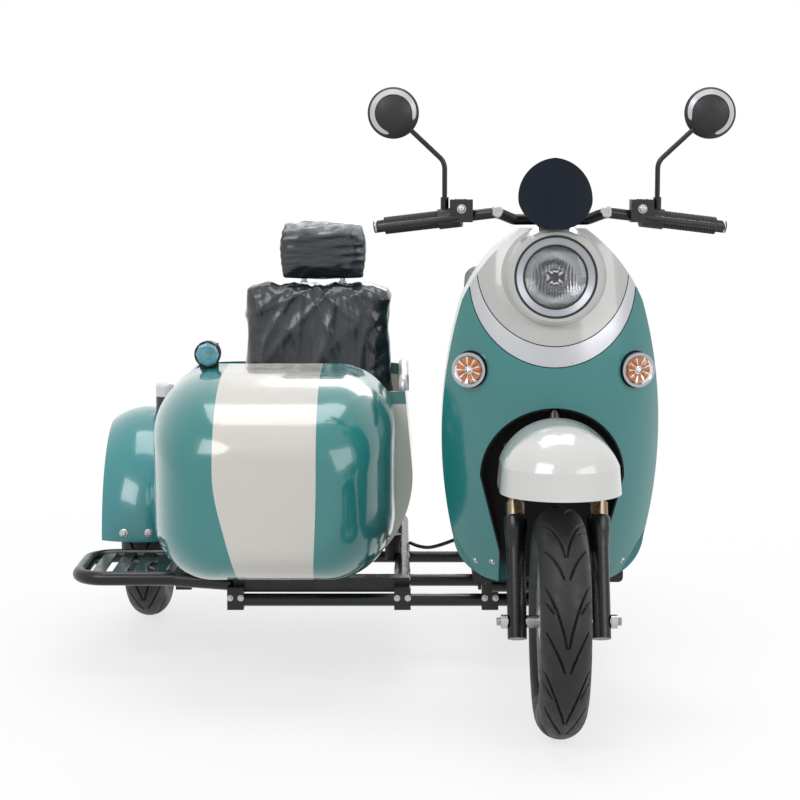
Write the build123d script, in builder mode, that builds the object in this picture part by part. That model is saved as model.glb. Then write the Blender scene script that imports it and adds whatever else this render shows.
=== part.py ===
from build123d import *
import os
from math import cos, radians, sin, sqrt, tan

# Electric sidecar tricycle: a scooter with a one-seat sidecar on its right-hand side.
# Forward is -Y, up is +Z, and the sidecar lies towards -X. All lengths are millimetres.
# Places are written from the scooter's centre plane (x), backwards from the front axle (y)
# and up from the ground (z). spot() moves them to the part's origin, under its middle.

# Wheels
TYRE_R = 216.0
TYRE_W = 92.0
TYRE_H = 89.0
BEAD_R = TYRE_R - TYRE_H
FLANGE_H = 10.0
FLANGE_R = BEAD_R + FLANGE_H
SHOULDER_IN = 8.0
SHOULDER_DROP = 20.0
FLANK_DROP = 4.0
FLANGE_T = 5.0
RIM_W = 66.0
RIM_T = 6.0
AXLE_R = 8.0
HUB_R = 30.0
HUB_W = 74.0
MOTOR_IN = 15.0
MOTOR_R = BEAD_R - MOTOR_IN
MOTOR_W = 100.0
DISC_IN = 39.0
DISC_R = BEAD_R - DISC_IN
DISC_T = 4.0
WHEELBASE = 1200.0
SIDECAR_WHEEL_X = -880.0
SIDECAR_LEAD = 160.0
SIDECAR_WHEEL_Y = WHEELBASE - SIDECAR_LEAD
RUN_GAP = 0.3
SPOKES = 5
SPOKE_W = 38.0
SPOKE_T = 16.0
MOTOR_WEB = 14.0
MOTOR_EDGE_R = 12.0
DISC_HOLES = 10
DISC_HOLE_R = 6.0
DISC_HOLE_IN = 18.0
NUT_R = 13.0
NUT_T = 12.0
SPACER_R = 12.0

# Steering and fork
RAKE = 22.0
TRAIL = 70.0
LEG_X = 78.0
LEG_R = 18.0
LEG_TUBE_R = 14.0
LEG_FOOT_Z = TYRE_R - 30.0
LEG_TOP_Z = 2 * TYRE_R - 7.0
CALIPER_Y = 30.0
CALIPER_Z = TYRE_R - 20.0
CALIPER_L = 76.0
CALIPER_H = 60.0
CALIPER_LUG_Z = TYRE_R + 2.0
CALIPER_LUG_H = 24.0
CALIPER_PAD = 12.0
CALIPER_ROOM = 2.0
YOKE_Z = 2 * TYRE_R + 68.0
YOKE_T = 26.0
YOKE_END_R = 20.0
STEM_R = 12.0
HEAD_TUBE_R = 20.0
HEAD_TUBE_LOW_Z = 640.0
HEAD_TUBE_HIGH_Z = 850.0
STEM_TOP_Z = 934.0
STEM_ROOM = 8.0

# Handlebar
BAR_R = 11.0
GRIP_R = 17.0
GRIP_L = 128.0
KNUCKLE_X = 106.0
KNUCKLE_Y = 282.0
KNUCKLE_Z = 964.0
BAR_END_X = 345.0
BAR_END_Y = 330.0
BAR_END_Z = 934.0
MIRROR_X = 308.0
MIRROR_Y = 300.0
MIRROR_Z = 1156.0
MIRROR_R = 50.0
STEM_SHARE = 1 / 3
DOME_MID_OUT = 0.7
DOME_MID_DEEP = 0.62
MIRROR_DOME = 20.0
MIRROR_RIM = 5.0
MIRROR_STEM_R = 5.0
MIRROR_FOOT_IN = 11.0
SLEEVE_R = 8.0
SLEEVE_H = 22.0
STEM_ELBOW_H = 110.0
STEM_BEND = 30.0
CLAMP_R = 24.0
CLAMP_TOP_Z = 964.0
PLUG_R = 12.0
RISER_X = 72.0
RISER_Z = 950.0
RISER_LEAD = 12.0
RISER_BEND = 18.0
CONTROL_GAP = 2.0
SWITCH_L = 44.0
SWITCH_R = 20.0
RESERVOIR_W = 44.0
RESERVOIR_L = 30.0
RESERVOIR_H = 34.0
LEVER_R = 6.0
LEVER_REACH = 36.0
LEVER_TIP_IN = 8.0
LEVER_BEND = 20.0

# Front fender
FENDER_TOP_Z = 2 * TYRE_R + 153.0
FENDER_SHOULDER_Z = FENDER_TOP_Z - 75.0
FENDER_LOW_Z = FENDER_TOP_Z - 125.0
FENDER_HALF = 112.0
FENDER_LEAN = 4.0
FENDER_MID_Y = -10.0
FENDER_BACK_Y = 92.0
FENDER_T = 3.0
STAY_HALF = 24.0
STAY_Y = 50.0
STAY_Z = YOKE_Z + 22.0
STAY_T = 6.0

# Egg-shaped front pod
# Its outline from the foot up: half width, height. Every second point is the middle of an arc.
POD_OUTLINE = (
    (100, 236), (166, 269), (189, 320),
    (212, 574), (175, 796),
    (122, 880), (62, 935),
)
POD_TOP_Z = 922.0
POD_MID_Z = 620.0
POD_NOSE_Y = 150.0
POD_PLAN_R = 247.0
POD_SIDE_R = 800.0
POD_BACK_LOW_Y = 290.0
POD_BACK_HIGH_Y = 370.0
POD_WALL = 4.0
BAND_R = 161.4
BAND_Z = 834.0
COWL_R = 146.0
COWL_Z = 860.0
ARCH_R = 140.0
ARCH_Z = 2 * TYRE_R + 24.0
ARCH_FOOT_HALF = 100.0
ARCH_FOOT_Z = 300.0
LINER_WALL = 4.0
LINER_BACK_Y = 245.0
POD_SPARE = 40.0
POD_SWEEP = 110.0
KNEE_T = 5.0

# Lamps on the pod
LAMP_Y = 150.0
LAMP_Z = 846.0
LAMP_TILT = 5.0
LAMP_R = 91.0
LENS_R = 60.0
BEZEL_T = 16.0
BEZEL_LIP = 6.0
BEZEL_IN_R = 78.0
COLLAR_T = 5.0
COLLAR_FLARE = 12.0
COLLAR_DEEP = 62.0
RING_IN = 8.0
LENS_T = 3.0
BOWL_DEEP = 44.0
BOWL_T = 3.0
BULB_R = 15.0
BULB_TIP = 24.0
SIGNAL_X = 164.0
SIGNAL_Z = 665.0
SIGNAL_R = 33.5
SIGNAL_Y = 190.0
SIGNAL_TURN = 18.0
SIGNAL_DEEP = 46.0
SIGNAL_LENS_R = 28.0
SIGNAL_DISH = 6.0
SIGNAL_DOME = 8.0
INSTRUMENT_Y = 214.0
INSTRUMENT_Z = 964.0
INSTRUMENT_R = 38.0
INSTRUMENT_T = 26.0
INSTRUMENT_LEAN = 30.0
INSTRUMENT_FOOT = 12.0
SCREEN_STAY_Z = 956.0
SCREEN_STAY_T = 6.0
SCREEN_STAY_HALF = 20.0
SCREEN_Y = 130.0
SCREEN_LOW_Z = 936.0
SCREEN_H = 134.0
CREST_SHARE = 0.83
SCREEN_LEAN = 27.0
SCREEN_PLAN_R = 130.0
SCREEN_T = 4.0
SCREEN_HALF = 70.0
SCREEN_FOOT = 44.0
SCREEN_RISE = 12.0
SCREEN_WIDE_Z = 984.0
SCREEN_CREST = 49.0
SCREEN_DEEP = 125.0

# Floor, rear body and saddle
FLOOR_T = 30.0
FLOOR_HALF = 150.0
FLOOR_BACK_Y = 760.0
RAIL_X = 110.0
RAIL_R = 13.0
RAIL_Z = 215.0
FLOOR_Z = RAIL_Z + RAIL_R
RAIL_FRONT_Y = 330.0
SPINE_R = 16.0
SPINE_BEND = 50.0
# The spine's route under the pod and the floor: across, along, up
SPINE_PATH = ((0, 214, 690), (0, 276, 590), (0, 272, 330), (0, 318, 212), (0, 780, 212))
SEAT_RAIL_X = 70.0
SEAT_RAIL_R = 12.0
SEAT_RAIL_FRONT_Y = 764.0
SEAT_RAIL_Z = 560.0
SEAT_RAIL_BEND = 60.0
FLOOR_FRONT_Y = 300.0
FLOOR_EDGE_R = 10.0
FLOOR_RIBS = 7
FLOOR_RIB_W = 14.0
FLOOR_RIB_H = 3.0
BODY_HALF = 165.0
BODY_LOW_Z = FLOOR_Z + FLOOR_T
BODY_ARCH_ROOM = 34.0
BODY_TAIL_RUN = 90.0
BODY_TAIL_KICK = 14.0
BODY_TAIL_Z = 590.0
BODY_FRONT_LEAN = 26.0
BODY_FRONT_HALF = 140.0
BODY_TAIL_HALF = 100.0
BODY_CORNER_R = 50.0
HATCH_HALF = 105.0
HATCH_FRONT_Y = 790.0
BODY_TOP_Z = 690.0
BODY_FRONT_Y = 716.0
BODY_OVERHANG = 230.0
BODY_BACK_Y = WHEELBASE + BODY_OVERHANG
BODY_FLARE = 144.0
BODY_WIDE_Y = BODY_FRONT_Y + BODY_FLARE
HATCH_BACK_Y = BODY_BACK_Y - 120.0
SEAT_RAIL_BACK_Y = BODY_BACK_Y - 100.0
BODY_EDGE_R = 10.0
BODY_WALL = 5.0
SADDLE_HALF = 140.0
SADDLE_T = 100.0
SADDLE_FRONT_Y = 712.0
SADDLE_BACK_Y = BODY_BACK_Y - 60.0
SADDLE_GAP = 0.5
SADDLE_FRONT_T = 52.0
SADDLE_DIP_T = 60.0
SADDLE_DIP_Y = 800.0
SADDLE_STEP_Y = WHEELBASE - 170.0
SADDLE_STEP_RUN = 60.0
SADDLE_CORNER_R = 60.0
SADDLE_EDGE_R = 25.0
PAN_T = 12.0
PAN_HALF = 128.0
PAN_FRONT_Y = 752.0
PAN_IN = 10.0
PAN_CORNER_R = 30.0
HINGE_Y = 726.0
HINGE_Z = 694.0
HINGE_PIN_R = 5.0
HINGE_GAP = 0.05
HINGE_SIDE_GAP = 1.5
KNUCKLE_R = 8.5
EAR_X = 40.0
EAR_T = 10.0
EAR_R = 7.5
EAR_SLOPE = 4.5
BATTERY_HALF = 85.0
BATTERY_Y = 785.0
BATTERY_L = 150.0
BATTERY_H = 200.0
TAIL_LAMP_T = 12.0
TAIL_LAMP_Z = 632.0
TAIL_LAMP_W = 130.0
TAIL_LAMP_H = 48.0
REAR_SIGNAL_ROOT = 60.0
REAR_SIGNAL_TIP = 128.0
REAR_SIGNAL_Y = BODY_BACK_Y - 30.0
REAR_SIGNAL_Z = 560.0
REAR_SIGNAL_R = 20.0
REAR_SIGNAL_T = 30.0
REAR_STALK_R = 7.0
CARRIER_HALF = 70.0
CARRIER_Y = BODY_BACK_Y - 46.0
CARRIER_Z = 742.0
CARRIER_T = 6.0
CARRIER_TUBE_R = 9.0
CARRIER_POST_X = 52.0
CARRIER_POST_Y = BODY_BACK_Y - 42.0
CARRIER_POST_R = 8.0
CARRIER_HOLE_X = 90.0
CARRIER_HOLE_Y = 60.0
CARRIER_HOLE_R = 3.3
FLAP_HALF = 58.0
FLAP_T = 4.0
FLAP_MID_Y = BODY_BACK_Y - 5.0
FLAP_MID_Z = TYRE_R + 194.0
FLAP_END_Y = BODY_BACK_Y + 26.0
FLAP_END_Z = TYRE_R + 84.0
PIVOT_Y = WHEELBASE - 354.0
RAIL_BACK_Y = PIVOT_Y + 66.0
PIVOT_R = 12.0
ARM_X = 84.0
ARM_R = 13.0
ARM_EYE_T = 22.0
SHOCK_FOOT_IN = 50.0
SHOCK_TOP_IN = 110.0
SHOCK_SINK = 6.0
SHOCK_ROD_R = 9.0
SPRING_R = 21.0
SPRING_FROM = 0.28
SPRING_TO = 0.92
STAND_X = 142.0
STAND_Y = 548.0
STAND_DROP = 6.0
STAND_Z = RAIL_Z - STAND_DROP
STAND_L = 186.0
STAND_OUT = 14.0
STAND_R = 8.0
STAND_EYE_R = 14.0
STAND_EYE_T = 12.0
STAND_LIP = 4.0
STAND_PIN_R = 6.0
STAND_FOOT = 16.0
TAIL_Y = BODY_BACK_Y + 70.0

# Sidecar
SIDECAR_X = -554.0
NOSE_BACK_Y = 640.0
TUB_BACK_Y = 1290.0
TUB_X = -534.0
TUB_HALF = 266.0
TUB_TOP_Z = 572.0
TUB_LOW_Z = 230.0
SHELL_WALL = 6.0
# Nose sections from the back to the tip: along, half width, bottom, top, corner radius
NOSE_SECTIONS = (
    (NOSE_BACK_Y, 250, 214, 632, 125),
    (470, 248, 214, 626, 122),
    (330, 226, 226, 596, 112),
    (250, 186, 256, 548, 96),
    (214, 132, 300, 494, 74),
)
NOSE_TIP_R = 60.0
LEG_OPENING_W = 400.0
LEG_OPENING_H = 250.0
LEG_OPENING_R = 60.0
LEG_OPENING_Z = 400.0
TUB_FOOT_HALF = 205.0
TUB_RIM_HALF = 250.0
TUB_WIDE_Z = 400.0
TUB_TURN_IN = 18.0
TUB_TURN_UP = 68.0
TUB_BACK_R = 130.0
MOUNT_SHIFT = 20.0
MOUNT_IN = 80.0
MOUNT_R = 18.0
LONG_TUBE_R = 15.0
LONG_TUBE_BACK_Y = 1200.0
OUTER_TUBE_FRONT_Y = 500.0
FRONT_BAR_Y = 460.0
FRONT_BAR_OUT_X = -640.0
BRACKET_X = -795.0
BRACKET_HALF = 34.0
BRACKET_RISE = 26.0
# Cross tubes: place along, outer end across
CROSS_TUBES = ((430, -650), (630, -777), (890, -777))
CLAMP_HALF = 17.0
CLAMP_LIP = 5.0
RACK_FRONT_Y = 510.0
RACK_BACK_Y = 760.0
RACK_BEND = 60.0
RACK_BAR_W = 32.0
RACK_BAR_T = 5.0
RACK_SLATS = 4
SLAT_HALF = 13.0
SLAT_T = 5.0
LONG_TUBE_Z = 192.0
INNER_TUBE_X = -290.0
OUTER_TUBE_X = -760.0
CROSS_TUBE_R = 13.0
RACK_OUT_X = -990.0
RACK_TUBE_R = 15.0
SEAT_X = -487.0
SEAT_HALF = 186.0
SEAT_Y = 700.0
SEAT_BACK_Y = 1090.0
SEAT_Z = 300.0
SEAT_T = 92.0
SEAT_GAP = 0.4
SEAT_BASE_HALF = 170.0
SEAT_BASE_IN = 40.0
SEAT_CORNER_R = 50.0
SEAT_EDGE_R = 30.0
BACKREST_Y = 1010.0
BACKREST_T = 95.0
BACKREST_TOP_Z = 778.0
BACKREST_LEAN = 8.0
BACKREST_TOP_HALF = 166.0
SHOULDER_R = 60.0
HEADREST_X = -475.0
HEADREST_HALF = 99.0
HEADREST_GAP = 4.0
HEADREST_LOW_Z = BACKREST_TOP_Z + HEADREST_GAP
HEADREST_TOP_Z = 919.0
HEADREST_IN = 10.0
HEADREST_R = 45.0
POST_X = 45.0
POST_R = 6.0
RAIL_START_Y = 660.0
RAIL_END_Y = 1000.0
GRAB_H = 26.0
GRAB_R = 11.0
GRAB_BEND = 24.0
GUARD_SIDE_R = TYRE_R + 32.0
GUARD_SKIRT_R = TYRE_R - 26.0
GUARD_FROM = 1.0
GUARD_SPAN = 167.0
GUARD_BOSS_Y = 90.0
GUARD_BOSS_Z = TYRE_R + 192.0
GUARD_BOSS_R = 14.0
MARKER_X = SIDECAR_WHEEL_X + 42.0
MARKER_Y = SIDECAR_WHEEL_Y - 40.0
MARKER_R = 21.0
MARKER_H = 62.0
AUX_X = -700.0
AUX_Y = 590.0
AUX_Z = 658.0
AUX_R = 26.0
AUX_HALF = 20.0
AUX_T = 5.0
AUX_FOOT_Z = 590.0
AUX_BACK = 24.0
AUX_FRONT = 14.0
LEAD_R = 4.0
LEAD_SHARE = 0.45
# The lead's route: across, along, up
LEAD_PATH = ((-153, 690, 250), (-205, 720, 222), (-245, 800, 200), (-272, 880, 198))
GUARD_R = TYRE_R + 58.0
GUARD_HALF = 80.0
GUARD_T = 3.0

# Where the scooter's centre plane and front axle lie from the part's origin
SCOOTER_X = -(RACK_OUT_X + MIRROR_X + MIRROR_R) / 2
FRONT_AXLE_Y = -(TAIL_Y - TYRE_R) / 2

# Directions along the steering axis
AXIS_Y = sin(radians(RAKE))
AXIS_Z = cos(radians(RAKE))
BOTH_SIDES = (-1, 1)


def spot(x, y, z):
    """A point from the scooter's centre plane, front axle and ground."""
    return (x + SCOOTER_X, y + FRONT_AXLE_Y, z)


def front_plane(y, x=0):
    """An upright plane across the vehicle, drawn in x and z, facing forward."""
    return Plane(origin=spot(x, y, 0), x_dir=(1, 0, 0), z_dir=(0, -1, 0))


def side_plane(x):
    """An upright plane along the vehicle, drawn in y and z."""
    return Plane(origin=spot(x, 0, 0), x_dir=(0, 1, 0), z_dir=(1, 0, 0))


def top_plane(z):
    """A level plane, drawn in x and y."""
    return Plane(origin=spot(0, 0, z))


def steer_y(z):
    """How far back the steering axis is at a height."""
    return z * tan(radians(RAKE)) - TRAIL


def steer_plane(z):
    """A plane square to the steering axis, centred on it at a height."""
    return Plane(origin=spot(0, steer_y(z), z), x_dir=(1, 0, 0), z_dir=(0, AXIS_Y, AXIS_Z))


def leg_point(x, z):
    """The point of a fork leg's centre line at a height. The legs pass through the axle."""
    return (x, (z - TYRE_R) * tan(radians(RAKE)), z)


def rod(start, end, radius, mode=Mode.ADD):
    """Add a straight round bar between two points."""
    first = Vector(*spot(*start))
    run = Vector(*spot(*end)) - first
    with BuildSketch(Plane(origin=first, z_dir=run)) as section:
        Circle(radius)
    extrude(section.sketch, amount=run.length, mode=mode)


def tube(points, radius, bend):
    """Add a round tube along straight runs joined by arcs, of one radius or of one each."""
    with BuildLine() as path:
        FilletPolyline(*[spot(*point) for point in points], radius=bend)
    with BuildSketch(Plane(origin=path.line @ 0, z_dir=path.line % 0)) as section:
        Circle(radius)
    sweep(section.sketch, path=path.line)


def block(low, high, mode=Mode.ADD):
    """Add a box between its lowest and highest corners."""
    with BuildSketch(top_plane(low[2])) as base:
        with Locations(((low[0] + high[0]) / 2, (low[1] + high[1]) / 2)):
            Rectangle(high[0] - low[0], high[1] - low[1])
    extrude(base.sketch, amount=high[2] - low[2], mode=mode)


def across(x_from, x_to, y, z, radius, mode=Mode.ADD):
    """Add a round bar that lies across the vehicle."""
    with BuildSketch(side_plane(x_from)) as section:
        with Locations((y, z)):
            Circle(radius)
    extrude(section.sketch, amount=x_to - x_from, mode=mode)


def keep(builder, label):
    """Name a finished piece and write it out."""
    builder.part.label = label
    export_step(builder.part, f"parts/{label}.step")


def wheel_plane(x, y):
    """The upright plane through a wheel's axle, drawn along the axle and outwards."""
    return Plane(origin=spot(x, y, TYRE_R), x_dir=(1, 0, 0), z_dir=(0, -1, 0))


def axle_line(x, y):
    """The line that a wheel turns about."""
    return Axis(spot(x, y, TYRE_R), (1, 0, 0))


def turn_tyre(x, y):
    """Turn a tyre with straight beads, bulged flanks and a round crown."""
    bead_half = RIM_W / 2 - FLANGE_T
    flank_r = (FLANGE_R + TYRE_R) / 2 - FLANK_DROP
    shoulder_half = TYRE_W / 2 - SHOULDER_IN
    shoulder_r = TYRE_R - SHOULDER_DROP
    bead_top = FLANGE_R + RUN_GAP
    with BuildSketch(wheel_plane(x, y)) as section:
        with BuildLine():
            Line((-bead_half, BEAD_R), (-bead_half, bead_top))
            ThreePointArc((-bead_half, bead_top), (-TYRE_W / 2, flank_r), (-shoulder_half, shoulder_r))
            ThreePointArc((-shoulder_half, shoulder_r), (0, TYRE_R), (shoulder_half, shoulder_r))
            ThreePointArc((shoulder_half, shoulder_r), (TYRE_W / 2, flank_r), (bead_half, bead_top))
            Line((bead_half, bead_top), (bead_half, BEAD_R))
            Line((bead_half, BEAD_R), (-bead_half, BEAD_R))
        make_face()
    revolve(section.sketch, axis=axle_line(x, y))


def turn_rim(x, y):
    """Turn a rim with a flange on each side of the bead seat."""
    half = RIM_W / 2
    seat_half = half - FLANGE_T
    well_r = BEAD_R - RIM_T
    with BuildSketch(wheel_plane(x, y)) as section:
        with BuildLine():
            Polyline(
                (-half, well_r), (half, well_r), (half, FLANGE_R), (seat_half, FLANGE_R),
                (seat_half, BEAD_R), (-seat_half, BEAD_R), (-seat_half, FLANGE_R), (-half, FLANGE_R),
                close=True,
            )
        make_face()
    revolve(section.sketch, axis=axle_line(x, y))


def cast_wheel(x, y):
    """Make a cast wheel: rim, hub with a running bore, and spokes between them."""
    turn_rim(x, y)
    across(x - HUB_W / 2, x + HUB_W / 2, y, TYRE_R, HUB_R)
    spoke_length = BEAD_R - RIM_T / 2 - HUB_R / 2
    with BuildSketch(side_plane(x - SPOKE_T / 2)) as spokes:
        with Locations((y, TYRE_R)):
            with PolarLocations(HUB_R / 2 + spoke_length / 2, SPOKES):
                Rectangle(spoke_length, SPOKE_W)
    extrude(spokes.sketch, amount=SPOKE_T)
    across(x - HUB_W, x + HUB_W, y, TYRE_R, AXLE_R + RUN_GAP, Mode.SUBTRACT)


os.makedirs("parts", exist_ok=True)

# Tyres: name, place across, place along
TYRES = (
    ("front_tyre", 0, 0),
    ("rear_tyre", 0, WHEELBASE),
    ("sidecar_tyre", SIDECAR_WHEEL_X, SIDECAR_WHEEL_Y),
)
for tyre_name, tyre_x, tyre_y in TYRES:
    with BuildPart() as tyre:
        turn_tyre(tyre_x, tyre_y)
    keep(tyre, tyre_name)

# Cast wheels: name, place across, place along
CAST_WHEELS = (
    ("front_rim", 0, 0),
    ("sidecar_rim", SIDECAR_WHEEL_X, SIDECAR_WHEEL_Y),
)
for rim_name, rim_x, rim_y in CAST_WHEELS:
    with BuildPart() as rim:
        cast_wheel(rim_x, rim_y)
    keep(rim, rim_name)

# Rear wheel: the rim is carried by a flat round motor in place of spokes
with BuildPart() as rear_motor_wheel:
    turn_rim(0, WHEELBASE)
    across(-MOTOR_WEB / 2, MOTOR_WEB / 2, WHEELBASE, TYRE_R, BEAD_R - RIM_T / 2)
    across(-MOTOR_W / 2, MOTOR_W / 2, WHEELBASE, TYRE_R, MOTOR_R)
    motor_rims = rear_motor_wheel.edges().filter_by(GeomType.CIRCLE).filter_by(
        lambda edge: abs(edge.radius - MOTOR_R) < 0.01
    )
    fillet(motor_rims.group_by(Axis.X)[0] + motor_rims.group_by(Axis.X)[-1], MOTOR_EDGE_R)
    across(-MOTOR_W, MOTOR_W, WHEELBASE, TYRE_R, AXLE_R + RUN_GAP, Mode.SUBTRACT)
keep(rear_motor_wheel, "rear_motor_wheel")

# Front brake disc on the hub's left end, with a ring of holes
DISC_X = HUB_W / 2
with BuildPart() as brake_disc:
    across(DISC_X, DISC_X + DISC_T, 0, TYRE_R, DISC_R)
    across(DISC_X, DISC_X + DISC_T, 0, TYRE_R, AXLE_R + RUN_GAP, Mode.SUBTRACT)
    with BuildSketch(side_plane(DISC_X)):
        with Locations((0, TYRE_R)):
            with PolarLocations(DISC_R - DISC_HOLE_IN, DISC_HOLES):
                Circle(DISC_HOLE_R)
    extrude(amount=DISC_T, mode=Mode.SUBTRACT)
keep(brake_disc, "brake_disc")

# Front axle with nuts outside the fork and spacers inside it
with BuildPart() as front_axle:
    leg_in = LEG_X - LEG_R
    leg_out = LEG_X + LEG_R
    across(-leg_out - NUT_T, leg_out + NUT_T, 0, TYRE_R, AXLE_R)
    across(-leg_out - NUT_T, -leg_out, 0, TYRE_R, NUT_R)
    across(leg_out, leg_out + NUT_T, 0, TYRE_R, NUT_R)
    across(-leg_in, -DISC_X - RUN_GAP, 0, TYRE_R, SPACER_R)
    across(DISC_X + DISC_T + RUN_GAP, leg_in, 0, TYRE_R, SPACER_R)
keep(front_axle, "front_axle")

# Fork: sliders below, tubes with the yoke and the steering stem above
with BuildPart() as fork_legs:
    for side in BOTH_SIDES:
        rod(leg_point(side * LEG_X, LEG_FOOT_Z), leg_point(side * LEG_X, LEG_TOP_Z), LEG_R)
    across(-2 * LEG_X, 2 * LEG_X, 0, TYRE_R, AXLE_R, Mode.SUBTRACT)
    for side in BOTH_SIDES:
        across(side * leg_out, side * (leg_out + NUT_T), 0, TYRE_R, NUT_R, Mode.SUBTRACT)
        across(side * leg_in, side * DISC_X, 0, TYRE_R, SPACER_R, Mode.SUBTRACT)
keep(fork_legs, "fork_legs")

with BuildPart() as fork_yoke:
    for side in BOTH_SIDES:
        rod(leg_point(side * LEG_X, LEG_TOP_Z), leg_point(side * LEG_X, YOKE_Z + YOKE_T), LEG_TUBE_R)
    leg_ahead = (steer_y(TYRE_R)) * AXIS_Z
    with BuildSketch(steer_plane(YOKE_Z)):
        with Locations((0, -leg_ahead / 2)):
            Rectangle(2 * LEG_X, leg_ahead + 2 * STEM_R + YOKE_END_R)
        with Locations((-LEG_X, -leg_ahead), (LEG_X, -leg_ahead)):
            Circle(YOKE_END_R)
    extrude(amount=YOKE_T)
    rod((0, steer_y(YOKE_Z), YOKE_Z), (0, steer_y(STEM_TOP_Z), STEM_TOP_Z), STEM_R)
keep(fork_yoke, "fork_yoke")

# Brake caliper behind the left fork leg, slotted for the disc
with BuildPart() as caliper:
    block((DISC_X - CALIPER_PAD, CALIPER_Y, CALIPER_Z), (LEG_X, CALIPER_Y + CALIPER_L, CALIPER_Z + CALIPER_H))
    lug_top_z = CALIPER_LUG_Z + CALIPER_LUG_H
    block((LEG_X - LEG_R, CALIPER_Y - LEG_R, CALIPER_LUG_Z), (LEG_X, CALIPER_Y, lug_top_z))
    disc_room = DISC_R + CALIPER_ROOM
    across(DISC_X - CALIPER_ROOM, DISC_X + DISC_T + CALIPER_ROOM, 0, TYRE_R, disc_room, Mode.SUBTRACT)
    across(DISC_X - CALIPER_PAD, LEG_X, 0, TYRE_R, SPACER_R + CALIPER_ROOM, Mode.SUBTRACT)
    rod(leg_point(LEG_X, LEG_FOOT_Z), leg_point(LEG_X, LEG_TOP_Z), LEG_R, Mode.SUBTRACT)
keep(caliper, "brake_caliper")


def fender_form(inset):
    """Add the fender's form: a round cap in front, drawn out backwards, less an inset."""
    half = FENDER_HALF - inset
    shoulder = half - FENDER_LEAN
    crown_z = FENDER_TOP_Z - inset
    with BuildSketch(front_plane(FENDER_MID_Y)) as section:
        with BuildLine():
            Polyline(
                (-shoulder, FENDER_SHOULDER_Z), (-half, FENDER_LOW_Z),
                (half, FENDER_LOW_Z), (shoulder, FENDER_SHOULDER_Z),
            )
            ThreePointArc((shoulder, FENDER_SHOULDER_Z), (0, crown_z), (-shoulder, FENDER_SHOULDER_Z))
        make_face()
    extrude(section.sketch, amount=FENDER_MID_Y - FENDER_BACK_Y)
    with BuildSketch(front_plane(FENDER_MID_Y)) as half_section:
        add(section.face())
        with Locations((0, FENDER_LOW_Z)):
            Rectangle(2 * half, 2 * half, align=(Align.MIN, Align.MIN), mode=Mode.SUBTRACT)
    revolve(half_section.sketch, axis=Axis(spot(0, FENDER_MID_Y, 0), (0, 0, 1)), revolution_arc=180)


# Front fender with the stay that bolts it to the yoke
with BuildPart() as fender_room:
    fender_form(FENDER_T)
with BuildPart() as front_fender:
    fender_form(0)
    add(fender_room.part, mode=Mode.SUBTRACT)
    block((-STAY_HALF, STAY_Y, STAY_Z), (STAY_HALF, STAY_Y + STAY_T, FENDER_TOP_Z - FENDER_T))
    block((-STAY_HALF, STAY_Y, STAY_Z), (STAY_HALF, FENDER_BACK_Y + STAY_HALF, STAY_Z + STAY_T))
    add(fork_yoke.part, mode=Mode.SUBTRACT)
keep(front_fender, "front_fender")


def bar_point(side, inward):
    """A point on a side's handlebar, measured inwards from its end."""
    end = Vector(BAR_END_X, BAR_END_Y, BAR_END_Z)
    knuckle = Vector(KNUCKLE_X, KNUCKLE_Y, KNUCKLE_Z)
    place = end + (knuckle - end).normalized() * inward
    return (side * place.X, place.Y, place.Z)


# Handlebar: a clamp on the stem, a riser to a knuckle on each side, and the bars
with BuildPart() as handlebar:
    rod((0, steer_y(STEM_TOP_Z), STEM_TOP_Z), (0, steer_y(CLAMP_TOP_Z), CLAMP_TOP_Z), CLAMP_R)
    for side in BOTH_SIDES:
        foot = (0, steer_y(RISER_Z), RISER_Z)
        low = (side * RISER_X, steer_y(RISER_Z) - RISER_LEAD, RISER_Z)
        knuckle = (side * KNUCKLE_X, KNUCKLE_Y, KNUCKLE_Z)
        tube((foot, low, knuckle, bar_point(side, BAR_R)), BAR_R, RISER_BEND)
keep(handlebar, "handlebar")

# Grips with end plugs, one on each bar
with BuildPart() as grips:
    for side in BOTH_SIDES:
        rod(bar_point(side, GRIP_L), bar_point(side, 2 * BAR_R), GRIP_R)
        rod(bar_point(side, 2 * BAR_R), bar_point(side, 0), PLUG_R)
        rod(bar_point(side, GRIP_L), bar_point(side, BAR_R), BAR_R, Mode.SUBTRACT)
keep(grips, "grips")

# Switch pods round the bars, with brake reservoirs on their inner ends and levers in front
with BuildPart() as controls:
    for side in BOTH_SIDES:
        pod_from = GRIP_L + CONTROL_GAP
        rod(bar_point(side, pod_from), bar_point(side, pod_from + SWITCH_L), SWITCH_R)
        tank = bar_point(side, pod_from + SWITCH_L)
        tank_low = (tank[0] - RESERVOIR_W / 2, tank[1] - RESERVOIR_L, tank[2] - SWITCH_R / 2)
        tank_high = (tank[0] + RESERVOIR_W / 2, tank[1] + SWITCH_R / 2, tank[2] + RESERVOIR_H)
        block(tank_low, tank_high)
        lever_root = (tank[0], tank[1] - RESERVOIR_L + LEVER_R, tank[2])
        lever_elbow = bar_point(side, GRIP_L)
        lever_tip = bar_point(side, LEVER_TIP_IN)
        reach = LEVER_REACH + LEVER_R
        tube(
            (
                lever_root,
                (lever_elbow[0], lever_elbow[1] - reach, lever_elbow[2]),
                (lever_tip[0], lever_tip[1] - reach, lever_tip[2]),
            ),
            LEVER_R,
            LEVER_BEND,
        )
        rod(bar_point(side, GRIP_L), bar_point(side, pod_from + SWITCH_L + RESERVOIR_W), BAR_R, Mode.SUBTRACT)
keep(controls, "controls")

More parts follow.
